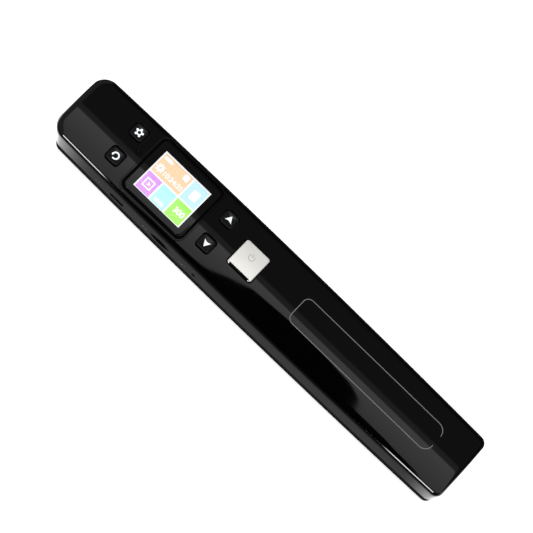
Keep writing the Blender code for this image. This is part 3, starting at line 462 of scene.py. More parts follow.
def surface_group() -> bpy.types.NodeTree:
    """Build the shared finish once: slow colour drift, fine grain and dust or handling marks.

    Returns:
        A group that puts out a colour, a roughness and a height.
    """
    name = "moulded finish"
    if name in bpy.data.node_groups:
        return bpy.data.node_groups[name]
    tree = bpy.data.node_groups.new(name, "ShaderNodeTree")
    inputs = ("Colour", "Worn Colour", "Roughness", "Drift", "Grain Scale", "Marks")
    for way, labels in (("INPUT", inputs), ("OUTPUT", ("Colour", "Roughness", "Height"))):
        for label in labels:
            kind = "NodeSocketColor" if "Colour" in label else "NodeSocketFloat"
            tree.interface.new_socket(label, in_out=way, socket_type=kind)
    kit = NodeKit(tree)
    given = kit.node("NodeGroupInput").outputs
    place = kit.node("ShaderNodeTexCoord").outputs["Object"]
    streaks = kit.node("ShaderNodeMapping", {"Vector": place, "Scale": (0.25, 1.0, 1.0)}).outputs[0]
    worn = kit.times(kit.spread(kit.noise(streaks, 900.0, 5.0, 0.7), 0.58, 0.72), given["Marks"])
    drift = kit.times(kit.math("SUBTRACT", kit.noise(place, 60.0, 3.0), 0.5), given["Drift"])
    drifted = {0: given["Colour"], "Scale": kit.plus(1.0, drift)}
    scaled = kit.node("ShaderNodeVectorMath", drifted, operation="SCALE")
    rough = kit.plus(given["Roughness"], kit.times(worn, 0.25))
    kit.node("NodeGroupOutput", {
        "Colour": kit.mix(worn, scaled.outputs[0], given["Worn Colour"]),
        "Roughness": kit.math("ADD", rough, kit.times(drift, 0.3), clamp=True),
        "Height": kit.noise(place, given["Grain Scale"]),
    })
    return tree


@dataclass(frozen=True)
class Finish:
    """A finish made of the shared moulded surface and plain shader values."""

    name: str
    colour: Triple
    roughness: float
    metallic: float = 0.0
    drift: float = 0.15
    grain: float = 4000.0
    bump: float = 0.02
    marks: float = 0.1
    worn: Triple = (0.3, 0.3, 0.3)
    coat: float = 0.0
    transmission: float = 0.0
    ior: float = 1.5
    glow: Triple | None = None
    specular: float = 0.5
    subsurface: float = 0.0

    def material(self) -> bpy.types.Material:
        """Build the material once and give it.

        Returns:
            The material.
        """
        if self.name in bpy.data.materials:
            return bpy.data.materials[self.name]
        made = bpy.data.materials.new(self.name)
        made.use_nodes = True
        kit = NodeKit(made.node_tree)
        surface = kit.node("ShaderNodeGroup", {
            "Colour": rgba(*self.colour), "Worn Colour": rgba(*self.worn), "Roughness": self.roughness,
            "Drift": self.drift, "Grain Scale": self.grain, "Marks": self.marks,
        }, node_tree=surface_group()).outputs
        height = surface["Height"]
        bump = kit.node("ShaderNodeBump", {"Strength": self.bump, "Distance": 0.05 * MM, "Height": height})
        kit.fill(made.node_tree.nodes["Principled BSDF"], {
            "Base Color": surface["Colour"], "Roughness": surface["Roughness"],
            "Normal": bump.outputs[0], "Metallic": self.metallic, "Coat Weight": self.coat,
            "Coat Roughness": 0.03, "Transmission Weight": self.transmission, "IOR": self.ior,
            "Specular IOR Level": self.specular, "Subsurface Weight": self.subsurface,
            "Subsurface Scale": 0.5 * MM,
            **({"Emission Color": rgba(*self.glow), "Emission Strength": 1.0} if self.glow else {}),
        })
        return made

    def dress(self, piece: Object) -> Object:
        """Give a piece this finish alone.

        Args:
            piece: The piece.

        Returns:
            The piece.
        """
        piece.data.materials.clear()
        piece.data.materials.append(self.material())
        return piece

    def dress_where(self, piece: Object, rule: Callable[[Face], bool]) -> None:
        """Give some faces of a dressed piece this finish.

        Args:
            piece: The piece.
            rule: Tells whether a face gets it.
        """
        piece.data.materials.append(self.material())
        for face in piece.data.polygons:
            if rule(face):
                face.material_index = len(piece.data.materials) - 1


PIANO = Finish("piano_black_shell", (0.0005, 0.00045, 0.00045), 0.035, bump=0.0, drift=0.2, marks=0.004,
               worn=(0.05, 0.05, 0.05))
# Dull black of the lower shell; also put on wells, key edges and the window ledge as painted shade.
BASE_AND_SHADE = Finish("matt_black_base", (0.003, 0.003, 0.0032), 0.5, bump=0.06, grain=6000, marks=0.05,
              specular=0.0)
UNDER = Finish("satin_black_underside", (0.022, 0.022, 0.023), 0.38, bump=0.15, grain=7000, marks=0.12,
               worn=(0.06, 0.06, 0.06))
# Lighter grey band on the lower shell's rib: a painted reflection of the floor.
RIB_REFLECTION_GREY = Finish("grey_edged_rib", (0.014, 0.014, 0.0145), 0.4, bump=0.02, marks=0.02, specular=0.01)
KEY = Finish("gloss_black_key", (0.004, 0.004, 0.0045), 0.1, bump=0.01, marks=0.01, worn=(0.08, 0.08, 0.08))
# White print on the keys, with a faint painted glow.
ICON_PRINT_GLOW = Finish("white_key_print", (0.80, 0.84, 0.86), 0.45, bump=0.1, marks=0.05, glow=(0.12, 0.13, 0.13))
PRINT = Finish("grey_print", (0.15, 0.145, 0.15), 0.45, bump=0.1, marks=0.1)
SILVER = Finish("silver_scan_key", (0.945, 0.94, 0.9), 0.3, metallic=0.5, bump=0.03, grain=9000, marks=0.08,
                worn=(0.5, 0.5, 0.48), coat=0.4)
GLASS = Finish("clear_cover_glass", (0.98, 0.99, 0.99), 0.01, bump=0.0, drift=0.0, marks=0.0,
               transmission=1.0, ior=1.46)
MASK = Finish("black_window_print", (0.0012, 0.0012, 0.0016), 0.03, bump=0.0, marks=0.004)
PIPE = Finish("smoked_light_pipe", (0.003, 0.003, 0.0033), 0.05, bump=0.02, marks=0.02, specular=0.35)
RUBBER = Finish("black_tyre_rubber", (0.018, 0.018, 0.019), 0.72, bump=0.5, grain=9000, marks=0.35,
                worn=(0.07, 0.07, 0.068))
NYLON = Finish("natural_nylon", (0.62, 0.60, 0.53), 0.5, bump=0.15, marks=0.15, worn=(0.45, 0.43, 0.38),
               subsurface=0.1)
STEEL = Finish("plated_steel", (0.60, 0.60, 0.61), 0.24, metallic=1.0, bump=0.05, marks=0.3,
               worn=(0.45, 0.45, 0.45))
BRASS = Finish("sintered_brass", (0.62, 0.44, 0.2), 0.36, metallic=1.0, bump=0.2, marks=0.3,
               worn=(0.4, 0.3, 0.16))
BOARD = Finish("green_circuit_board", (0.012, 0.12, 0.045), 0.4, bump=0.1, marks=0.2, worn=(0.03, 0.2, 0.08),
               coat=0.3)
INNER = Finish("inner_black_nylon", (0.012, 0.012, 0.012), 0.55, bump=0.3, marks=0.1, worn=(0.05, 0.05, 0.05))
WRAP = Finish("cell_wrap", (0.42, 0.45, 0.5), 0.32, bump=0.1, marks=0.2, worn=(0.6, 0.62, 0.66))
PIPE_CLEAR = Finish("clear_acrylic", (0.9, 0.92, 0.93), 0.06, bump=0.02, marks=0.02, transmission=0.7,
                    ior=1.49)
RIBBON = Finish("ribbon_cable_white", (0.72, 0.72, 0.7), 0.4, bump=0.1, marks=0.15, worn=(0.55, 0.55, 0.55))
# Black for the scan key's near edge, a painted dark reflection, and for its skirt, painted shade in the well.
LIP_PAINTED_DARK = Finish("black_key_lip", (0.002, 0.002, 0.002), 0.2, bump=0.02, marks=0.02, specular=0.1)
PRESSED = Finish("pressed_sign_grey", (0.46, 0.455, 0.43), 0.4, metallic=0.3, bump=0.05, marks=0.05)


# The housing's form


@dataclass(frozen=True)
class HousingForm:
    """The outline, the roof and the places that every piece on the housing is measured from."""

    length: float = 254.0 * MM
    width: float = 41.0 * MM
    bow: float = 1.5 * MM
    top: float = 24.6 * MM
    crown: float = 2.0 * MM
    crown_reach: float = 2.5 * MM
    edge: float = 3.0 * MM
    screen_end: float = 8.0 * MM
    lean: float = 4.5 * MM
    lean_reach: float = 22.0 * MM
    lean_bend: float = 1.6
    far_end: float = 4.0 * MM
    spine_end: float = 22.0 * MM
    wall: float = 1.8 * MM
    seam: float = 6.4 * MM
    seam_gap: float = 0.4 * MM
    groove: float = 0.4 * MM
    groove_height: float = 1.3 * MM
    least: float = 0.5 * MM
    side_steps: int = 96
    corner_steps: int = 14
    end_steps: int = 12
    edge_steps: int = 12
    roof_steps: int = 18
    screen_x: float = -64.7 * MM
    seat: Triple = (39.5 * MM, 34.2 * MM, 3.7 * MM)
    key_x: Pair = (-94.8 * MM, -35.4 * MM)
    key_y: float = 8.25 * MM
    scan_x: float = -15.2 * MM
    port_z: float = 12.4 * MM

    def half_width(self, x: Array | float, margin: float = 0.0) -> Array | float:
        """Half the width less a parabola that grows from zero at mid length to the bow at the ends."""
        return self.width / 2 - margin - self.bow * (2 * x / self.length) ** 2

    def roof(self, y: Array | float) -> Array | float:
        """Height of the roof: the top less the crown times the squared share of the half width."""
        return self.top - self.crown * (2 * y / self.width) ** 2

    def on_roof(self, flat: Array, rise: float, x: float = 0.0) -> Array:
        """Stand flat points, moved along X, at a rise above the crowned roof below each."""
        return level(flat + (x, 0.0), self.roof(flat[:, 1]) + rise)

    def leaned(self, points: Array) -> Array:
        """Move points in from the screen end, by the lean times the squared share of its reach.

        The lean is whole on the table and falls, by the power of its bend, to nothing at the roof's edge.

        Args:
            points: Array of (..., 3) places.

        Returns:
            The moved places.
        """
        share = np.clip((self.lean_reach - self.length / 2 - points[..., 0]) / self.lean_reach, 0, None)
        depth = np.clip(1 - points[..., 2] / (self.top - self.edge), 0, None)
        out = points.copy()
        out[..., 0] += self.lean * share**2 * depth**self.lean_bend
        return out

    def outline(self, margin: float) -> Array:
        """Outline moved inward by a margin, the same on both sides of Y = 0.

        Each end has a quarter circle of that end's radius less the margin, and a straight edge up to Y = 0.

        Args:
            margin: Distance from the outer face.

        Returns:
            An anticlockwise array of (n, 2) points.
        """
        far, near = max(self.far_end - margin, self.least), max(self.screen_end - margin, self.least)
        angle = np.linspace(0, np.pi / 2, self.corner_steps + 1)
        x_far, x_near = self.length / 2 - margin - far, -self.length / 2 + margin + near
        y_far, y_near = self.half_width(x_far, margin) - far, self.half_width(x_near, margin) - near
        rise = np.linspace(0, 1, self.end_steps + 1)[:-1] * y_far
        fall = np.linspace(1, 0, self.end_steps + 2)[1:] * y_near
        x = np.linspace(x_far, x_near, self.side_steps + 1)[1:-1]
        half = np.concatenate([
            np.stack([np.full(len(rise), x_far + far), rise], 1),
            arc(far, angle) + (x_far, y_far),
            np.stack([x, self.half_width(x, margin)], 1),
            arc(near, angle + np.pi / 2) + (x_near, y_near),
            np.stack([np.full(len(fall), x_near - near), fall], 1),
        ])
        return np.concatenate([half, half[-2:0:-1] * (1, -1)])

    def solid(self, name: str, margin: float, low: float, groove: float = 0.0) -> Object:
        """Closed body of the upper housing at a margin: wall, quarter-round edge and crowned roof.

        The wall rises to the edge's spring line. The edge's ring at angle a is moved in by radius (1 - cos a)
        and up by radius sin a. The roof's rings shrink towards the centre line, and everything from a little
        below the spring line up is lowered by the crown.

        Args:
            name: Piece name.
            margin: Distance from the outer face.
            low: Height of the lower rim.
            groove: Depth of the shadow groove along the lower rim.

        Returns:
            The new object.
        """
        radius, spring = self.edge - margin, self.top - self.edge
        brink = low + self.groove_height
        sections = [(groove, low), (groove, brink), (0.0, brink + 0.1 * MM), (0.0, brink + 0.2 * MM)]
        sections += [(0.0, (low + spring) / 2), (0.0, spring - 2 * MM)]
        sections += [(radius * c, spring + radius * (1 - s)) for c, s in quarter(self.edge_steps)]
        rings = [level(self.outline(margin + deep), z) for deep, z in sections]
        x, y, z = rings[-1].T
        spine = np.clip(x, self.spine_end - self.length / 2, self.length / 2 - self.spine_end)
        for s in np.linspace(0, 1, self.roof_steps + 1)[1:]:
            rings.append(np.stack([x * (1 - s) + spine * s, y * (1 - s), z], 1))
        stack = self.leaned(np.array(rings))
        raised = stack[..., 2] > spring - self.crown_reach
        stack[..., 2] -= raised * self.crown * (2 * stack[..., 1] / self.width) ** 2
        return ring_stack(name, stack, Ends.FOOT, 30.0)

    def well(
        self, name: str, outline: Array, centre: Pair, flare: float, deep: float
    ) -> Object:
        """Cutter for an opening in the roof whose rim is eased by a small round that follows the crown.

        Args:
            name: Cutter name.
            outline: Array of (n, 2) points about the opening's centre.
            centre: The opening's centre.
            flare: Radius of the rim's round.
            deep: Depth below the roof.

        Returns:
            The cutter.
        """
        direction = outline / np.linalg.norm(outline, axis=1)[:, None]
        steps = [(0.0, -deep), (0.0, -flare)]
        steps += [(flare * (1 - math.cos(a)), flare * (math.sin(a) - 1)) for a in (0.4, 0.8, 1.2, 1.5)]
        steps.append((flare * 1.05, 2 * MM))
        rings = [self.on_roof(outline + direction * grow + centre, rise) for grow, rise in steps]
        return ring_stack(name, rings)


FORM = HousingForm()


@dataclass
class UpperHousing:
    """The crowned upper shell with its wells, ports and shadow groove.

    The scan key's well is length, width and corner radius, a port is place along X, length, height and corner
    radius, and the thumb recess is length, depth and height. The last six fields bound the faces of wells and
    ports that get the dull black painted shade.
    """

    form: HousingForm = FORM
    key_side: float = 7.9 * MM
    key_corner: float = 1.5 * MM
    gap: float = 0.35 * MM
    ease: float = 0.14 * MM
    deep: float = 3.0 * MM
    scan: Triple = (15.4 * MM, 15.5 * MM, 1.3 * MM)
    light: Pair = (-88.8 * MM, 1.2 * MM)
    light_radius: float = 1.3 * MM
    light_ease: float = 0.3 * MM
    window_ease: float = 0.05 * MM
    window_deep: float = 3.4 * MM
    usb: tuple[float, float, float, float] = (-80.7 * MM, 8.3 * MM, 3.6 * MM, 0.5 * MM)
    card: tuple[float, float, float, float] = (-52.1 * MM, 11.6 * MM, 1.1 * MM, 0.3 * MM)
    thumb: Triple = (13.4 * MM, 1.2 * MM, 5.0 * MM)
    thumb_steps: int = 40
    reset: Pair = (-29.6 * MM, 1.1 * MM)
    wells_y: float = 13.0 * MM
    wells_x: float = 100.0 * MM
    wells_deep: float = 3.5 * MM
    ports_x: float = 105.0 * MM
    ports_high: float = 3.0 * MM
    ports_deep: float = 1.6 * MM

    def build(self) -> None:
        """Skin the shell, cut its openings and keep the skin's smooth shading."""
        form = self.form
        shell = form.solid("upper_housing", 0.0, form.seam + form.seam_gap, form.groove)
        uncut = shell.copy()
        uncut.data = shell.data.copy()
        link(uncut)
        boolean(shell, [form.solid("room", form.wall, form.seam - 1 * MM)])
        boolean(shell, self.roof_openings() + self.side_openings())
        sharpen(shell.data, 34.0)
        lend_normals(shell, uncut)
        ride(PIANO.dress(shell), Body.HOUSING, Slot.GLOSS_BLACK, "top_shell")
        # Wells, ports, the window seat and the shadow groove get the dull black finish as painted shade.
        BASE_AND_SHADE.dress_where(shell, self.matt)

    def matt(self, face: Face) -> bool:
        """Tell whether a face belongs to a well, the window seat, a port or the shadow groove, which are
        painted dull black as shade.

        Args:
            face: A face of the shell.

        Returns:
            Whether it gets the dull black painted shade.
        """
        form = self.form
        x, y, z = face.center
        seat = max(abs(x - form.screen_x) - form.seat[0] / 2, abs(y) - form.seat[1] / 2) < 0.1 * MM
        sunk = abs(x) < self.wells_x and 0.03 * MM < form.roof(y) - z < self.wells_deep
        inward = form.half_width(x) - abs(y)
        beside = abs(z - form.port_z) < self.ports_high and abs(x) < self.ports_x
        port = beside and 0.05 * MM < inward < self.ports_deep
        groove = z < form.seam + form.seam_gap + form.groove_height + 0.08 * MM
        return (seat or abs(y) < self.wells_y) and sunk or port or groove

    def roof_openings(self) -> list[Object]:
        """Cutters for the keys, the light and the window.

        Returns:
            The cutters.
        """
        form, gap = self.form, self.gap
        length, width, corner = self.scan
        side = self.key_side + 2 * gap
        key = dense(rounded_rectangle(side, side, self.key_corner + gap, 8))
        scan = dense(rounded_rectangle(length + 2 * gap, width + 2 * gap, corner + gap, 8))
        light, window = circle(self.light_radius, 40), dense(rounded_rectangle(*form.seat, 10))
        wells = [(key, (x, y), self.ease, self.deep) for x in form.key_x for y in (form.key_y, -form.key_y)]
        wells += [
            (scan, (form.scan_x, 0.0), self.ease, self.deep),
            (light, self.light, self.light_ease, self.deep),
            (window, (form.screen_x, 0.0), self.window_ease, self.window_deep),
        ]
        return [form.well(f"well_{i}", *well) for i, well in enumerate(wells)]

    def side_openings(self) -> list[Object]:
        """Cutters for the ports in the near wall.

        Returns:
            The cutters.
        """
        found = [
            self.mouth(f"mouth_{name}", x, rounded_rectangle(*size, 5), ((-2.0, 1.05), (0.0, 1.03)))
            for name, (x, *size) in (("usb", self.usb), ("card", self.card))
        ]
        x, radius = self.reset
        found.append(self.mouth("mouth_reset", x, circle(radius, 28), ((-1.0, 1.15), (0.0, 1.1))))
        return [*found, self.thumb_cutter()]

    def mouth(self, name: str, x: float, loop: Array, flare: tuple[Pair, ...]) -> Object:
        """Cutter into the near wall: an upright outline that is wider outside, by a share at each depth.

        Args:
            name: Cutter name.
            x: Place along X.
            loop: Array of (n, 2) points.
            flare: Depths in millimetres behind the wall's face, and the outline's share there.

        Returns:
            The cutter.
        """
        wall = -self.form.half_width(x)
        rings = []
        for deep, share in (*flare, (0.2, 1.0), (2.6, 1.0)):
            y = np.full(len(loop), wall + deep * MM)
            rings.append(np.column_stack([x + loop[:, 0] * share, y, self.form.port_z + loop[:, 1] * share]))
        return ring_stack(name, rings)

    def thumb_cutter(self) -> Object:
        """Eye-shaped recess: an ellipsoid whose height narrows to points at both ends, centred on the wall.

        Returns:
            The cutter.
        """
        length, deep, height = self.thumb
        middle, steps = self.card[0], self.thumb_steps
        along = np.linspace(-1, 1, steps + 1)[:, None]
        turn = np.linspace(0, 2 * np.pi, steps, endpoint=False)
        swell = 1 - along**2
        x = np.broadcast_to(middle + along * length / 2, (steps + 1, steps))
        y = -self.form.half_width(middle) + deep * np.sqrt(swell) * np.cos(turn)
        z = self.form.port_z + height / 2 * swell * np.sin(turn)
        return ring_stack("mouth_thumb", np.stack([x, y, z], -1)[1:-1])


@dataclass
class LowerHousing:
    """The stepped lower shell: its plinth and seam, the wheel pockets, the glass seat and the screw wells.

    The sections are pairs of margin and height in millimetres, from the underside up. A wheel pocket is place
    along X and Y, length and width, a bearing is place along X, length and width, and the screw's post and
    well are radius and height.
    """

    form: HousingForm = FORM
    base: float = 0.7 * MM
    floor: float = 1.7 * MM
    sections: tuple[Pair, ...] = (
        (1.4, 0.7), (1.34, 0.72), (0.54, 1.52), (0.5, 1.6), (0.5, 3.08), (0.42, 3.2), (0.08, 3.2), (0.0, 3.3),
        (0.0, 5.0), (0.05, 5.35), (0.2, 5.8), (0.45, 6.15), (0.75, 6.34), (1.0, 6.4), (1.0, 7.6), (1.1, 7.7),
    )
    above: float = 9.0 * MM
    pocket: tuple[float, float, float, float] = (104.0 * MM, 11.5 * MM, 9.2 * MM, 9.74 * MM)
    bearing: Triple = (111.4 * MM, 3.0 * MM, 7.0 * MM)
    bearing_rise: float = 3.4 * MM
    bore: float = 2.2 * MM
    rib: Pair = (5.0 * MM, 6.3 * MM)
    rib_reach: float = 1.35 * MM
    axle: float = 5.0 * MM
    screw: Pair = (118.1 * MM, 10.6 * MM)
    screw_post: Pair = (3.2 * MM, 7.7 * MM)
    screw_hole: float = 1.3 * MM
    screw_well: Pair = (2.3 * MM, 3.4 * MM)
    glass: Pair = (219.6 * MM, 9.6 * MM)
    glass_deep: float = 1.0 * MM
    slot_margin: float = 1.6 * MM

    def build(self) -> None:
        """Skin the shell, join its posts, cut it, and give its rib a lighter grey as a painted reflection and
        its underside its finish.
        """
        wall = self.form.wall
        shell = self.skin("lower_housing", [(m * MM, z * MM) for m, z in self.sections])
        boolean(shell, [self.skin("lower_room", [(wall, self.base + self.floor), (wall, self.above)])])
        boolean(shell, self.posts(), "UNION")
        boolean(shell, self.cutters())
        sharpen(shell.data, 30.0)
        ride(BASE_AND_SHADE.dress(shell), Body.HOUSING, Slot.BASE_BLACK, "bottom_shell")
        # The rib's lighter grey is a painted reflection.
        RIB_REFLECTION_GREY.dress_where(shell, lambda face: self.rib[0] < face.center.z < self.rib[1])
        UNDER.dress_where(shell, self.hidden)

    def hidden(self, face: Face) -> bool:
        """Tell whether a face looks down or lies inside the outer wall."""
        inward = self.form.half_width(face.center.x) - abs(face.center.y)
        return inward >= self.rib_reach or face.normal.z < -0.7

    def skin(self, name: str, sections: list[Pair]) -> Object:
        """Skin the leaning outline.

        Args:
            name: Piece name.
            sections: Pairs of margin and height, from below.

        Returns:
            The new object.
        """
        form = self.form
        rings = [form.leaned(level(form.outline(margin), z)) for margin, z in sections]
        return ring_stack(name, rings, smooth=30.0)

    def posts(self) -> list[Object]:
        """Blocks that carry the bushes, and round posts for the screws.

        Returns:
            The posts, all rooted in the floor.
        """
        root = self.base + self.floor / 2
        x, length, width = self.bearing
        block = rounded_rectangle(length, width, 0.3 * MM, 3)
        radius, top = self.screw_post
        found = []
        for i, corner in enumerate(np.array(CORNERS)):
            high = self.axle + self.bearing_rise
            found.append(plug(f"bearing_{i}", block, corner * (x, self.pocket[1]), root, high))
            found.append(plug(f"screw_post_{i}", circle(radius, 40), corner * self.screw, root, top))
        return found

    def cutters(self) -> list[Object]:
        """Cutters for the wheels, the bush bores, the screws, the glass seat and the scan slot.

        Returns:
            The cutters.
        """
        low = self.base - 1 * MM
        x, y, length, width = self.pocket
        pocket = rounded_rectangle(length, width, 0.5 * MM, 4)
        bore = circle(self.bore, 32)
        radius, high = self.screw_well
        found = []
        for i, corner in enumerate(np.array(CORNERS)):
            found.append(plug(f"pocket_{i}", pocket, corner * (x, y), low, self.axle))
            middle, side = corner * (self.bearing[0], y)
            flat = bore + (side, self.axle)
            rings = [np.insert(flat, 0, middle + along, 1) for along in (-3 * MM, 3 * MM)]
            found.append(ring_stack(f"bore_{i}", rings))
            place = corner * self.screw
            found.append(plug(f"screw_hole_{i}", circle(self.screw_hole, 28), place, low, self.above))
            found.append(plug(f"screw_well_{i}", circle(radius, 40), place, low, high))
        length, width = self.glass
        slot = rounded_rectangle(length - 2 * self.slot_margin, width - 2 * self.slot_margin, 0.4 * MM, 3)
        seat = rounded_rectangle(length, width, 1.1 * MM, 5)
        found.append(plug("glass_seat", seat, np.zeros(2), low, self.base + self.glass_deep))
        found.append(plug("scan_slot", slot, np.zeros(2), low, 4 * MM))
        return found


def plug(name: str, loop: Array, place: Array, low: float, high: float) -> Object:
    """Upright solid of one outline, moved to a place, between two heights."""
    return ring_stack(name, [level(loop + place, z) for z in (low, high)])


@dataclass
class Rollers:
    """The tyres of both rollers, with shallow tread grooves."""

    x: float = 104.0 * MM
    y: float = 11.5 * MM
    radius: float = 5.0 * MM
    half: float = 4.0 * MM
    shoulder: float = 0.8 * MM
    bore: float = 3.5 * MM
    grooves: tuple[float, ...] = (-1.8 * MM, 0.0, 1.8 * MM)
    groove_half: float = 0.3 * MM
    groove_deep: float = 0.25 * MM
    steps: int = 72

    def build(self) -> None:
        """Turn the four tyres."""
        for roller, side, body in (("front", -1, Body.FRONT_ROLLER), ("rear", 1, Body.REAR_ROLLER)):
            for end, way in (("left", -1), ("right", 1)):
                name = f"{roller}_{end}_tyre"
                piece = self.tyre(name + "_tread", way * self.x, side * self.y)
                ride(RUBBER.dress(piece), body, Slot.RUBBER, name)

    def section(self) -> Array:
        """Tyre section with rounded shoulders and a flat tread with V grooves.

        Returns:
            Array of (n, 2) points: radius, and place along the axle.
        """
        turn = [(self.radius - self.shoulder * s, self.shoulder * c - self.half) for c, s in quarter(5)]
        turn = np.array(turn)
        tread = []
        for at in self.grooves:
            tread += [(self.radius, at - self.groove_half), (self.radius - self.groove_deep, at)]
            tread.append((self.radius, at + self.groove_half))
        inner = [(self.bore, self.half), (self.bore, -self.half)]
        return np.concatenate([turn, tread, turn[::-1] * (1, -1), inner])

    def tyre(self, name: str, x: float, y: float) -> Object:
        """Turn the section about the axle at a place.

        Args:
            name: Piece name.
            x: Place along X.
            y: Place along Y.

        Returns:
            The new object.
        """
        out, along = self.section().T
        rings = []
        for cosine, sine in circle(1.0, self.steps):
            rings.append(np.stack([x + along, y + out * cosine, self.radius + out * sine], 1))
        return ring_stack(name, rings, Ends.JOINED, 35.0)


@dataclass
class ScreenSurround:
    """The raised rim that frames the window, blended into the crowned roof by a cove."""

    form: HousingForm = FORM
    rim: float = 0.8 * MM
    proud: float = 0.3 * MM
    ease: float = 0.12 * MM
    cap: float = 0.18 * MM
    cove: float = 0.22 * MM
    ledge: float = 2.4 * MM
    ledge_drop: float = 1.4 * MM
    foot_drop: float = 2.2 * MM

    def build(self) -> None:
        """Sweep the rim's section round the window.

        The section runs along the ledge below the glass, up the inner wall, over the rim with a small round
        on both sides, and down a cove to the roof. Its heights are measured from the crowned roof below each
        point.
        """
        base = dense(rounded_rectangle(*self.form.seat, 14))
        normal = across(base)
        turn = quarter(6)
        section = [(-self.ledge, -self.foot_drop), (-self.ledge, -self.ledge_drop), (0.0, -self.ledge_drop)]
        section += [(self.ease * c, self.proud - self.ease * s) for c, s in turn]
        section += [(self.rim - self.cap * s, self.proud - self.cap * c) for c, s in turn]
        section += [(self.rim + self.cove * c, 0.01 * MM + (self.proud - self.cap) * s) for c, s in turn]
        section.append((self.rim + self.cove, -self.foot_drop))
        rings = [self.form.on_roof(base + normal * out, rise, self.form.screen_x) for out, rise in section]
        rim = ring_stack("screen_surround", rings, Ends.JOINED, 50.0)
        ride(PIANO.dress(rim), Body.HOUSING, Slot.GLOSS_BLACK)
        # The ledge and walls below the roof, seen through the glass, get the dull black finish as painted
        # shade.
        BASE_AND_SHADE.dress_where(rim, lambda face: face.center.z < self.form.roof(face.center.y) - 0.05 * MM)


# The screen


SCREEN_COLOURS = {
    "white": (250, 252, 255), "sign": (255, 255, 255), "orange": (252, 206, 156), "blue": (190, 236, 250),
    "purple": (216, 130, 243), "cyan": (166, 243, 248), "green": (148, 246, 10),
}


def lit(name: str) -> Finish:
    """Finish of a lit part of the screen, which glows in its screen colour."""
    glow = linear(*SCREEN_COLOURS[name])
    return Finish(f"lit_{name}", (0.02, 0.02, 0.02), 0.3, bump=0.0, drift=0.0, marks=0.0, glow=glow)


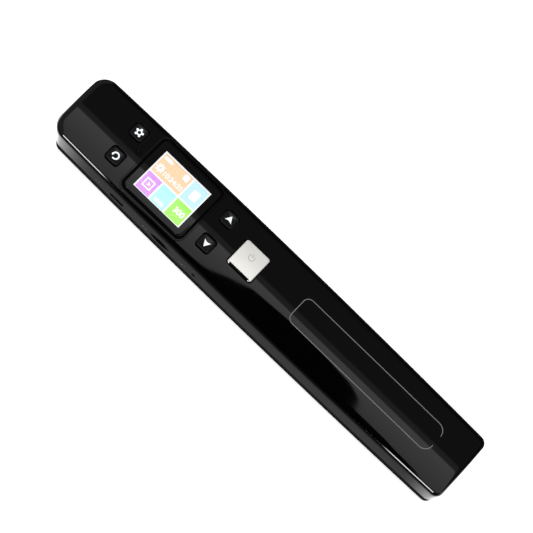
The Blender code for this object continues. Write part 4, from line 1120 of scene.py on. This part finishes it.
@dataclass
class Screen:
    """The cover glass, its printed border and the lit panel below it.

    Tiles are given by their left, top, right and bottom edges, in shares of the view from its left and top.
    """

    form: HousingForm = FORM
    glass: Triple = (37.1 * MM, 31.2 * MM, 2.7 * MM)
    top: float = 25.0 * MM
    thickness: float = 0.9 * MM
    rim: float = 0.3 * MM
    view: Pair = (29.5 * MM, 23.7 * MM)
    shift: float = -0.45 * MM
    panel: Triple = (36.0 * MM, 29.4 * MM, 1.0 * MM)
    panel_low: float = 19.8 * MM
    panel_high: float = 22.0 * MM
    ground_top: float = 23.2 * MM
    tiles: tuple[tuple[str, tuple[float, float, float, float]], ...] = (
        ("orange", (0.025, 0.035, 0.63, 0.505)),
        ("blue", (0.66, 0.035, 0.975, 0.505)),
        ("purple", (0.025, 0.54, 0.31, 0.975)),
        ("cyan", (0.34, 0.54, 0.63, 0.975)),
        ("green", (0.66, 0.54, 0.975, 0.975)),
    )

    def build(self) -> None:
        """Make the glass, the border print and the panel."""
        self.build_glass()
        self.build_panel()

    def build_glass(self) -> None:
        """Loft the glass and print its border.

        Rings run from the middle of the underside out to the edge, round its quarter-round rim and in to the
        view, whose outline is the rim's held inside a rectangle, then on to the middle of the top. The glass
        follows the roof's crown.
        """
        length, width, corner = self.glass
        base = dense(rounded_rectangle(length, width, corner, 14))
        sections = [(base * share, self.thickness) for share in np.linspace(0, 1, 9)]
        for c, s in quarter(6):
            sections.append((base * (1 - 2 * self.rim * c / np.array([length, width])), self.rim * s))
        rim = sections[-1][0]
        half, centre = np.array(self.view) / 2, np.array([0.0, self.shift])
        view = np.clip(rim, centre - half, centre + half)
        sections += [(rim * (1 - share) + view * share, 0.0) for share in np.linspace(0, 1, 5)[1:]]
        sections += [(centre + (view - centre) * share, 0.0) for share in np.linspace(1, 0, 13)[1:]]
        above, x = self.top - self.form.top, self.form.screen_x
        rings = [self.form.on_roof(flat, above - drop, x) for flat, drop in sections]
        piece = ring_stack("display_cover", rings, Ends.DRAWN)
        ride(GLASS.dress(piece), Body.HOUSING, Slot.CLEAR, "display_window")

        def bordered(face: Face) -> bool:
            """Tell whether a face of the top or the rim lies outside the view."""
            out = np.abs(np.array(face.center[:2]) - (x, self.shift)) > half - 0.01 * MM
            return out.any() and face.normal.z > -0.5

        MASK.dress_where(piece, bordered)

    def at(self, right: float, down: float, loop: Array) -> Array:
        """Move an outline in millimetres to a place given in shares of the view."""
        length, width = self.view
        return loop * MM + ((right - 0.5) * length + self.form.screen_x, (0.5 - down) * width + self.shift)

    def tile(self, left: float, top: float, right: float, bottom: float) -> Array:
        """Rectangle between edges given in shares of the view, an array of (4, 2)."""
        corners = ((left, bottom), (right, bottom), (right, top), (left, top))
        return np.array([self.at(*corner, np.zeros(2)) for corner in corners])

    def lay(
        self, finish: Finish, name: str, loops: list[Array], low: float, high: float, *nodes: str
    ) -> None:
        """Lay one layer of the panel.

        Args:
            finish: Its finish.
            name: Piece name.
            loops: Arrays of (n, 2) points.
            low: Height of the underside.
            high: Height of the top.
            nodes: CAD nodes that the layer replaces.
        """
        piece = outline_plate(name, loops, low, high)
        ride(finish.dress(piece), Body.HOUSING, Slot.INNER_BLACK, *nodes)

    def build_panel(self) -> None:
        """Stack the panel's body, its white ground, the tiles and their signs, each a little higher."""
        z = self.ground_top
        body = rounded_rectangle(*self.panel) + (self.form.screen_x, 0.0)
        self.lay(INNER, "panel_body", [body], self.panel_low, self.panel_high, "lcd_module")
        self.lay(lit("white"), "panel_ground", [self.tile(0, 0, 1, 1)], self.panel_high - 0.1 * MM, z)
        for name, cells in self.tiles:
            self.lay(lit(name), f"tile_{name}", [self.tile(*cells)], z, z + INK)
        self.build_signs(z + INK)

    def build_signs(self, z: float) -> None:
        """Make the white signs and numbers on the tiles.

        Args:
            z: Height they stand on.
        """
        white = lit("sign")
        square = rounded_rectangle(1, 1, 0.12, 4)
        signs = [
            self.at(0.13, 0.11, square * (4.6, 1.8)),
            self.at(0.13, 0.11, square * (0.5, 0.9) + (2.6, 0)),
            self.at(0.83, 0.28, square * (4.2, 5.4)),
            self.at(0.535, 0.13, square * (3.0, 3.2)),
            self.at(0.12, 0.35, cog_outline(8, 2.1, 0.34)),
        ]
        self.lay(white, "screen_signs", signs, z, z + INK)
        frame = rounded_rectangle(5.1, 5.1, 0.2, 3)
        outer, inner = (self.at(0.167, 0.76, frame * share) for share in (1, 3.7 / 5.1))
        piece = flat_ring("screen_frame", outer, inner, z, z + INK)
        ride(white.dress(piece), Body.HOUSING, Slot.INNER_BLACK)
        play = np.array([(-0.7, -1.2), (1.0, 0), (-0.7, 1.2)])
        self.lay(white, "screen_play", [self.at(0.175, 0.76, play)], z, z + INK)
        hole = self.at(0.12, 0.35, cog_outline(24, 0.62, 0.0))
        self.lay(lit("orange"), "screen_cog_hole", [hole], z + INK, z + 1.5 * INK)
        for name, text, right, down, size in (
            ("screen_clock", "10:24:35", 0.41, 0.38, 3.6),
            ("screen_count", "0000", 0.485, 0.895, 2.9),
            ("screen_density", "300", 0.835, 0.76, 4.1),
        ):
            digits = number(name, text, size * MM, self.at(right, down, np.zeros(2)), z)
            ride(white.dress(digits), Body.HOUSING, Slot.INNER_BLACK)


def flat_ring(name: str, outer: Array, inner: Array, low: float, high: float) -> Object:
    """Flat ring between two like outlines, arrays of (n, 2), and two heights."""
    sections = ((outer, low), (outer, high), (inner, high), (inner, low))
    return ring_stack(name, [level(flat, z) for flat, z in sections], Ends.JOINED)


def cog_outline(teeth: int, radius: float, depth: float) -> Array:
    """Cog sign: the radius swells and shrinks with the cosine of the tooth angle, flattened at its top.

    Args:
        teeth: Number of lobes.
        radius: Mean radius.
        depth: Share of the radius that the lobes stand out.

    Returns:
        Array of (n, 2) points.
    """
    a = np.linspace(0, 2 * np.pi, COG_STEPS, endpoint=False)
    wave = np.tanh(1.6 * np.cos(teeth * (a - np.pi / 2))) / math.tanh(1.6)
    return arc(1.0, a) * (radius * (1 + depth / 2 * wave))[:, None]


def number(name: str, text: str, size: float, place: Array, low: float) -> Object:
    """Make plain digits, centred on a place, as a thin mesh.

    Args:
        name: Piece name.
        text: Digits and colons.
        size: Height of the font.
        place: Centre in X and Y.
        low: Height of the underside.

    Returns:
        The new object.
    """
    curve = bpy.data.curves.new(name, "FONT")
    curve.body, curve.size, curve.extrude, curve.offset = text, size, INK / 2, size * 0.028
    curve.align_x, curve.align_y = "CENTER", "CENTER"
    holder = link(bpy.data.objects.new(name + "_text", curve))
    graph = bpy.context.evaluated_depsgraph_get()
    mesh = bpy.data.meshes.new_from_object(holder.evaluated_get(graph))
    bpy.data.objects.remove(holder, do_unlink=True)
    mesh.transform(Matrix.Translation((*place, low + INK / 2)))
    return link(bpy.data.objects.new(name, mesh))


# The keys


class Sign(Enum):
    """Signs printed on the keys."""

    COG = "cog"
    RETURN = "return"
    UP = "up"
    DOWN = "down"


@dataclass
class Key:
    """A small gloss key: a rounded square cap with a printed sign, and a foot inside the housing."""

    name: str
    body: Body
    x: float
    y: float
    sign: Sign
    form: HousingForm = FORM
    side: float = 7.3 * MM
    corner: float = 1.4 * MM
    proud: float = 0.3 * MM
    edge: float = 0.3 * MM
    dish: float = 0.12 * MM
    skirt: float = 3.2 * MM
    flange_drop: float = 2.6 * MM

    def build(self) -> None:
        """Loft the cap, with a rounded edge and a shallow dish, and put its foot and its sign on it."""
        base = rounded_rectangle(self.side, self.side, self.corner, 10)
        top = self.form.roof(self.y) + self.proud
        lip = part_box(f"{self.name}_button")[0].z
        sections = [(base, top - self.skirt)]
        share = self.edge / (self.side / 2)
        sections += [(base * (1 - share * c), top - self.edge * s) for c, s in quarter(7)]
        rim = sections[-1][0]
        sections += [(rim * s, top - self.dish * (1 - s * s) ** 2) for s in np.linspace(1, 0, 13)[1:]]
        rings = [level(flat + (self.x, self.y), z) for flat, z in sections]
        cap = ring_stack(f"{self.name}_cap", rings, Ends.FOOT)
        size = (self.side, self.side, self.corner)
        foot = flange(f"{self.name}_foot", (self.x, self.y), size, top - self.flange_drop, lip)
        ride(KEY.dress(cap), self.body, Slot.KEY_BLACK, f"{self.name}_button")
        # The cap's rounded edge and sides get the dull black finish: painted shade that draws a black ring
        # round the key.
        BASE_AND_SHADE.dress_where(cap, lambda face: face.normal.z < 0.9)
        ride(KEY.dress(foot), self.body, Slot.KEY_BLACK)
        self.build_sign(top - self.dish)

    def build_sign(self, z: float) -> None:
        """Make the printed sign, a thin plate that stands a hair above the cap.

        Args:
            z: Height of the dished cap's middle.
        """
        low, high = z - INK, z + 5 * INK
        centre, name = (self.x, self.y), f"{self.name}_sign"
        if self.sign is Sign.COG:
            outer, inner = cog_outline(5, 1.85, 0.5) * MM + centre, cog_outline(5, 0.82, 0.0) * MM + centre
            piece = flat_ring(name, outer, inner, low, high)
        else:
            piece = outline_plate(name, [self.outline() * MM + centre], low, high)
        ride(ICON_PRINT_GLOW.dress(piece), self.body, Slot.KEY_BLACK)

    def outline(self) -> Array:
        """Outline of the return arrow or of an arrowhead with a rounded notch, in millimetres.

        The return arrow is an arc of 290 degrees between two radii that ends in a wedge. An arrowhead's sides
        run straight from its tip to its wings, and a parabola joins the wings through the notch.

        Returns:
            Array of (n, 2) points.
        """
        if self.sign is Sign.RETURN:
            a = np.radians(np.linspace(-112, 178, 44))
            wedge = [(-2.3, 0.15), (-1.62, -0.95), (-0.95, 0.15)]
            return np.concatenate([arc(2.0, a), wedge, arc(1.28, a)[::-1]])
        wing = np.linspace(-1, 1, 15)
        notch = np.stack([wing * 2.2, -1.55 + 0.75 * (1 - wing**2)], 1)
        points = np.concatenate([notch, [(0.12, 2.1), (-0.12, 2.1)]]) * 0.9
        return points if self.sign is Sign.UP else points * (1, -1)


def flange(name: str, place: Pair, size: Triple, high: float, low: float) -> Object:
    """Make a key's foot inside the housing: a flange with a round post below it.

    Args:
        name: Piece name.
        place: Centre in X and Y.
        size: The cap's length, width and corner radius.
        high: Height of the flange's top.
        low: Height of the post's foot.

    Returns:
        The new object.
    """
    length, width, corner = size
    outer = rounded_rectangle(length + FLANGE_GROWTH, width + FLANGE_GROWTH, corner, 6)
    post = outer / np.linalg.norm(outer, axis=1)[:, None] * POST_RADIUS
    sections = ((outer, high), (outer, high - 0.8 * MM), (post, high - 0.81 * MM), (post, low))
    return ring_stack(name, [level(flat + place, z) for flat, z in sections])


@dataclass
class ScanKey:
    """The raised silver key with bevelled sides and a printed power sign.

    The bevel is a list of cuts from the sides and drops below the top, in millimetres.
    """

    form: HousingForm = FORM
    length: float = 14.8 * MM
    width: float = 15.3 * MM
    corner: float = 1.3 * MM
    top: float = 25.394 * MM
    lip: float = 0.85 * MM
    lip_drop: float = 0.8 * MM
    cap: float = 0.9 * MM
    flange_top: float = 21.9 * MM
    bevel: tuple[Pair, ...] = (
        (0.0, 3.6), (0.0, 0.42), (0.01, 0.34), (0.04, 0.25), (0.1, 0.15), (0.18, 0.07), (0.28, 0.02),
        (0.4, 0.0),
    )

    def build(self) -> None:
        """Loft the cap, add the foot and print the sign."""
        x = self.form.scan_x
        base = dense(rounded_rectangle(self.length, self.width, self.corner, 10))
        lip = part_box("scan_button")[0].z
        sections = []
        for cut, drop in self.bevel:
            share = 1 - 2 * cut * MM / np.array([self.length, self.width])
            sections.append((base * share, self.top - drop * MM))
        rim = sections[-1][0]
        sections += [(rim * s, self.top) for s in np.linspace(1, 0, 15)[1:]]
        cap = ring_stack("scan_cap", [level(flat + (x, 0.0), z) for flat, z in sections], Ends.FOOT, 28.0)
        ride(SILVER.dress(cap), Body.SCAN, Slot.SILVER, "scan_button")
        self.paint_lip_reflection(cap)
        foot = flange("scan_foot", (x, 0.0), (self.length, self.width, self.corner), self.flange_top, lip)
        ride(KEY.dress(foot), Body.SCAN, Slot.SILVER)
        self.build_sign()

    def paint_lip_reflection(self, cap: Object) -> None:
        """Crown the cap like the roof, slope its near edge down and paint that edge's straight run black as a
        painted dark reflection.

        Args:
            cap: The cap.
        """
        near, crown = -self.width / 2, self.form
        for vertex in cap.data.vertices:
            slope = max(0, 1 - (vertex.co.y - near) / self.lip) ** 1.5
            if vertex.co.z > self.top - self.cap:
                vertex.co.z -= crown.top - crown.roof(vertex.co.y) + self.lip_drop * slope

        def black(face: Face) -> bool:
            """Tell whether a face lies on the near edge's straight run, painted black as a dark reflection,
            or on the skirt, painted black as shade in the well.
            """
            straight = abs(face.center.x - crown.scan_x) < self.length / 2 - self.corner
            return straight and face.center.y < near + self.lip or face.center.z < self.top - 2 * MM

        LIP_PAINTED_DARK.dress_where(cap, black)

    def build_sign(self) -> None:
        """Print the power sign: an open ring and a bar, a shade darker than the key."""
        a = np.radians(np.linspace(125, 415, 48))
        ring = np.concatenate([arc(1.75, a), arc(1.4, a)[::-1]])
        bar = rounded_rectangle(0.4, 1.9, 0.18, 4) + (0, 1.1)
        loops = [loop * MM + (self.form.scan_x, 1.8 * MM) for loop in (ring, bar)]
        sign = outline_plate("scan_sign", loops, self.top - INK, self.top + INK / 5)
        ride(PRESSED.dress(sign), Body.SCAN, Slot.SILVER)


@dataclass
class Prints:
    """The thin printed frame on the roof and the small marks beside the ports.

    Marks are given by their place along X and their bars: place, length and height, all in millimetres.
    """

    form: HousingForm = FORM
    left: float = 16.7 * MM
    right: float = 107.8 * MM
    half: float = 7.65 * MM
    middle: float = 0.35 * MM
    corner_left: float = 3.4 * MM
    corner_right: float = 4.6 * MM
    line: float = 0.4 * MM
    gap: Pair = (-2.6 * MM, 3.4 * MM)
    step: float = 1.5 * MM
    marks: tuple[tuple[str, float, tuple[Triple, ...]], ...] = (
        ("usb_mark", -92.6, ((-1.6, 1.4, 0.3), (0.2, 1.0, 0.7), (1.7, 0.9, 0.3))),
        ("card_mark", -62.0, ((-0.9, 1.2, 0.9), (0.9, 1.2, 0.9))),
        ("reset_mark", -37.0, ((-1.5, 0.9, 0.5), (0.0, 0.9, 0.5), (1.5, 0.9, 0.5))),
    )

    def build(self) -> None:
        """Make the frame and the marks."""
        self.build_frame()
        self.build_marks()

    def path(self) -> Array:
        """Centre line of the frame: four quarter circles, from below its break round to above it.

        Returns:
            Array of (n, 2) points.
        """
        r1, r2, quarter = self.corner_right, self.corner_left, np.linspace(0, 90, 15)
        corners = (
            (self.right - r1, r1 - self.half, r1), (self.left + r2, r2 - self.half, r2),
            (self.left + r2, self.half - r2, r2), (self.right - r1, self.half - r1, r1),
        )
        turns = [arc(r, np.radians(-90 * i - quarter)) + (x, y) for i, (x, y, r) in enumerate(corners)]
        points = np.concatenate([[(self.right, self.gap[0])], *turns, [(self.right, self.gap[1])]])
        return split_edges(points, lambda gap: int(gap / self.step), closed=False)

    def build_frame(self) -> None:
        """Lay a thin strip along the path, a hair above the roof."""
        path = self.path()
        normal = across(path, closed=False)
        rings = []
        for side, lift in ((-1, -0.05), (-1, 0.04), (1, 0.04), (1, -0.05)):
            flat = path + normal * side * self.line / 2 + (0.0, self.middle)
            rings.append(self.form.on_roof(flat, lift * MM))
        frame = ring_stack("printed_frame", np.array(rings).transpose(1, 0, 2))
        ride(PRINT.dress(frame), Body.HOUSING, Slot.GLOSS_BLACK)

    def build_marks(self) -> None:
        """Stand small plain marks on the near wall: bars of several lengths beside each port."""
        square = rounded_rectangle(1, 1, 0.2, 3)
        for name, centre, bars in self.marks:
            pairs = []
            for along, length, height in bars:
                x, z = (square * (length, height) * MM + ((centre + along) * MM, self.form.port_z)).T
                wall = -self.form.half_width(x)
                pairs.append([np.stack([x, wall + lift * MM, z], 1) for lift in (0.02, -0.015)])
            ride(PRINT.dress(slabs(name, pairs, 40.0)), Body.HOUSING, Slot.GLOSS_BLACK)


# The rest of the frame


def many(pattern: str, *words: str) -> tuple[str, ...]:
    """Put each word in a pattern of a node's name."""
    return tuple(pattern.format(word) for word in words)


WHEELS = ("front_left", "front_right", "rear_left", "rear_right")
KEYS = ("settings", "back", "up", "down")
FRAME_FINISHES = (
    (PIANO, ("top_shell",)),
    (BASE_AND_SHADE, ("bottom_shell",)),
    (MASK, ("display_window",)),
    (KEY, many("{}_button", *KEYS, "reset")),
    (SILVER, ("scan_button",)),
    (PIPE, ("status_light",)),
    (GLASS, ("scan_glass",)),
    (PIPE_CLEAR, ("light_guide", "status_led")),
    (RUBBER, many("{}_tyre", *WHEELS)),
    (NYLON, many("{}_hub", *WHEELS)),
    (NYLON, ("drive_pinion", "encoder_gear", "ribbon_connector", "battery_plug", "rod_lens_array")),
    (STEEL, ("front_axle", "rear_axle", "encoder_shaft", "usb_socket", "card_socket")),
    (STEEL, many("housing_screw_{}", "1", "2", "3", "4")),
    (BRASS, many("{}_bush", *WHEELS)),
    (BOARD, ("main_board", "sensor_board")),
    (INNER, ("lcd_module", "lcd_holder", "sensor_housing", "battery_lead")),
    (INNER, ("encoder_bracket", "encoder_sensor", "encoder_disc")),
    (INNER, many("{}_switch", *KEYS, "scan", "reset")),
    (WRAP, ("battery_pack",)),
    (RIBBON, ("sensor_ribbon",)),
)


def dress_frame(nodes: dict[str, Object]) -> None:
    """Give every CAD node its finish.

    Args:
        nodes: The frame's nodes by name.
    """
    named = {name: finish for finish, names in FRAME_FINISHES for name in names}
    for name, node in nodes.items():
        named[name].dress(node)
    log.info("%d CAD nodes dressed", len(nodes))


# The studio


@dataclass
class Studio:
    """Pale floor, a soft overhead light, the surroundings that gloss shows, and the photo's camera.

    A ramp is where it starts and ends and, if it isn't from 0 to 1, what it gives there. The floor's ramps
    run over X or Y, and the surroundings' ramps over the X share or the lean of a reflection's direction.
    The bright ceiling panel's curved edge is a list of places: the X share of a reflection's direction, and
    the angle in degrees at which it leans towards +Y.
    """

    target: Triple = (-7.356 * MM, 7.329 * MM, 15.0 * MM)
    elevation: float = 71.804
    roll: float = 44.002
    distance: float = 1.0
    lens: float = 141.27
    surround: float = 0.65
    light_power: float = 14.0
    light_place: Triple = (-0.2, -0.1, 1.4)
    floor_half: float = 2.0
    floor_left: Ramp = (-0.086, -0.125, 0.0, 1.19)
    floor_right: Ramp = (0.105, 0.125, 0.0, 1.02)
    floor_cut: Ramp = (-0.046, -0.036)
    floor_near: Ramp = (-0.028, -0.021, 0.85, 1.25)
    floor_far: Ramp = (0.0, 0.015, 1.0, 0.0)
    panel_high: Ramp = (0.0, 13.0, 0.78, 1.1)
    panel_low: Ramp = (-68.0, -42.0, 0.25, 1.0)
    strip: Ramp = (13.2, 13.8)
    wall: Ramp = (16.3, 17.2)
    far_wall: Ramp = (35.0, 55.0)
    slit_low: Ramp = (-89.0, -87.0)
    slit_high: Ramp = (-75.0, -73.0, 1.0, 0.0)
    slit_left: Ramp = (-0.1065, -0.1015, 1.0, 0.0)
    slit_right: Ramp = (0.117, 0.124)
    slit_ends: Ramp = (0.17, 0.19, 1.0, 0.0)
    side_wall: Ramp = (-0.17, -0.26)
    edge_soft: Ramp = (-0.15, 0.15)
    edge_x: Pair = (-0.15, 0.15)
    edge_lean: Pair = (-90.0, 20.0)
    edge_places: tuple[Pair, ...] = (
        (-0.120, -71.0), (-0.1065, -71.0), (-0.1015, -60.0), (-0.081, -54.0), (-0.063, -38.0),
        (-0.050, -22.0), (-0.036, -18.0), (-0.0209, -1.4), (-0.0102, 3.4), (0.0028, 8.2), (0.027, 9.8),
        (0.0504, 9.3), (0.0683, 8.0), (0.076, 5.0), (0.0778, -0.8), (0.092, -1.2), (0.1004, -2.4),
        (0.106, -5.0), (0.118, -12.0), (0.130, -30.0), (0.142, -64.0), (0.149, -70.0),
    )

    def build(self) -> None:
        """Set up the floor, the light, the world and the camera."""
        self.build_floor()
        self.build_light()
        self.build_world()
        self.build_camera()

    def build_floor(self) -> None:
        """Lay the floor: white to the camera, darker to gloss and clear from below.

        Gloss sees a tone that grows towards both ends of the wand, and on the camera's side it is cut off.
        """
        mesh = bpy.data.meshes.new("floor")
        corners = [(x * self.floor_half, y * self.floor_half, 0) for x, y in CORNERS]
        mesh.from_pydata(corners, [], [(3, 1, 0, 2)])
        floor = link(bpy.data.objects.new("floor", mesh))
        material = bpy.data.materials.new("studio_floor")
        material.use_nodes = True
        kit = NodeKit(material.node_tree)
        x, y, _ = kit.axes("Object")
        left = kit.math("POWER", kit.spread(x, *self.floor_left), 4.0)
        right = kit.math("POWER", kit.spread(x, *self.floor_right), 3.0)
        ends = kit.plus(0.12, kit.plus(left, right))
        near = kit.times(kit.spread(y, *self.floor_cut), kit.spread(y, *self.floor_near))
        tone = kit.times(ends, kit.times(near, kit.spread(y, *self.floor_far)))
        path = kit.node("ShaderNodeLightPath").outputs
        gloss = path["Is Glossy Ray"]
        shown = kit.times(path["Is Camera Ray"], 0.5)
        turned = kit.node("ShaderNodeNewGeometry").outputs["Backfacing"]
        kit.fill(material.node_tree.nodes["Principled BSDF"], {
            "Base Color": kit.mix(gloss, rgba(0.82), rgba(0.08)),
            "Roughness": 0.9,
            "Specular IOR Level": 0.0,
            "Emission Color": rgba(1),
            "Emission Strength": kit.plus(shown, kit.times(gloss, tone)),
            "Alpha": kit.math("SUBTRACT", 1.0, turned),
        })
        mesh.materials.append(material)

    def build_light(self) -> None:
        """Hang a broad soft light overhead that gloss doesn't show."""
        data = bpy.data.lights.new("overhead", "AREA")
        data.shape, data.size, data.size_y, data.energy = "RECTANGLE", 1.6, 1.2, self.light_power
        lamp = link(bpy.data.objects.new("overhead", data))
        lamp.location = self.light_place
        lamp.rotation_euler = (-lamp.location).to_track_quat("-Z", "Y").to_euler()
        lamp.visible_glossy = False

    def build_world(self) -> None:
        """Paint the surroundings: white to the camera, grey to soft light, panels and a black stand to gloss.

        The angle a ray leans towards +Y picks the panel: a dim wall far out, a brighter strip, then the
        bright ceiling panel that ends at a curved edge, with a black stand and the dark room beyond it. A
        thin white slit low on the dark side shows near both ends of the wand.
        """
        world = bpy.data.worlds.new("studio")
        bpy.context.scene.world = world
        world.use_nodes = True
        kit = NodeKit(world.node_tree)
        x, y, z = kit.axes("Generated")
        lean = kit.math("DEGREES", kit.math("ARCTAN2", y, z))
        panel = kit.times(kit.spread(lean, *self.panel_high), kit.spread(lean, *self.panel_low))
        bright = kit.mix(kit.spread(lean, *self.strip), panel, rgba(0.3))
        bright = kit.mix(kit.spread(lean, *self.wall), bright, rgba(0.125, 0.115, 0.115))
        bright = kit.mix(kit.spread(lean, *self.far_wall), bright, rgba(0.02))
        low_side = kit.times(kit.spread(lean, *self.slit_low), kit.spread(lean, *self.slit_high))
        ends = kit.plus(kit.spread(x, *self.slit_left), kit.spread(x, *self.slit_right))
        ends = kit.times(ends, kit.spread(kit.math("ABSOLUTE", x), *self.slit_ends))
        dark = kit.mix(kit.times(low_side, ends), rgba(0.004), rgba(20.0, 20.0, 20.5))
        past_edge = kit.math("SUBTRACT", lean, self.panel_edge(kit, x))
        glossy = kit.mix(kit.spread(past_edge, *self.edge_soft), dark, bright)
        glossy = kit.mix(kit.spread(x, *self.side_wall), glossy, rgba(0.3, 0.29, 0.28))
        path = kit.node("ShaderNodeLightPath").outputs
        shown = kit.math("MAXIMUM", path["Is Glossy Ray"], path["Is Transmission Ray"])
        seen = kit.mix(path["Is Camera Ray"], kit.mix(shown, rgba(self.surround), glossy), rgba(1))
        kit.fill(world.node_tree.nodes["Background"], {"Color": seen})

    def panel_edge(self, kit: NodeKit, x: Socket) -> Socket:
        """Curve of straight lines between the edge's places.

        Args:
            kit: The world's nodes.
            x: The X share of the direction.

        Returns:
            The lean of the panel's edge, in degrees.
        """
        left, right = self.edge_x
        low, high = self.edge_lean
        curve = kit.node("ShaderNodeFloatCurve")
        points = curve.mapping.curves[0].points
        for i, (along, angle) in enumerate(self.edge_places):
            spot = ((along - left) / (right - left), (angle - low) / (high - low))
            point = points[i] if i < 2 else points.new(*spot)
            point.location, point.handle_type = spot, "VECTOR"
        curve.mapping.update()
        kit.fill(curve, {"Value": kit.spread(x, left, right)})
        return kit.plus(kit.times(curve.outputs[0], high - low), low)

    def build_camera(self) -> None:
        """Place the camera as the photo was taken: raised from the -Y side and rolled about its view."""
        data = bpy.data.cameras.new("camera")
        data.lens, data.sensor_width = self.lens, 36.0
        data.clip_start, data.clip_end = 0.05, 20.0
        camera = link(bpy.data.objects.new("camera", data))
        e = math.radians(self.elevation)
        back = Vector((0, -math.cos(e), math.sin(e)))
        roll = Matrix.Rotation(math.radians(self.roll), 4, "Z")
        tilt = Matrix.Rotation(math.pi / 2 - e, 4, "X")
        camera.matrix_world = Matrix.Translation(Vector(self.target) + back * self.distance) @ tilt @ roll
        bpy.context.scene.camera = camera
        bpy.context.scene.view_settings.view_transform = "Standard"


def main() -> None:
    """Build the scanner round the frame."""
    logging.basicConfig(level=logging.INFO, format="%(name)s: %(message)s")
    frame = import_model()
    dress_frame(frame["nodes"])
    left, right = FORM.key_x
    keys = (
        Key("settings", Body.SETTINGS, left, FORM.key_y, Sign.COG),
        Key("back", Body.BACK, left, -FORM.key_y, Sign.RETURN),
        Key("up", Body.UP, right, FORM.key_y, Sign.UP),
        Key("down", Body.DOWN, right, -FORM.key_y, Sign.DOWN),
    )
    shells = (UpperHousing(), LowerHousing(), Rollers(), ScreenSurround(), Screen())
    for part in (*shells, *keys, ScanKey(), Prints()):
        part.build()
        log.info("%s built", type(part).__name__)
    Studio().build()


if __name__ == "__main__":
    main()
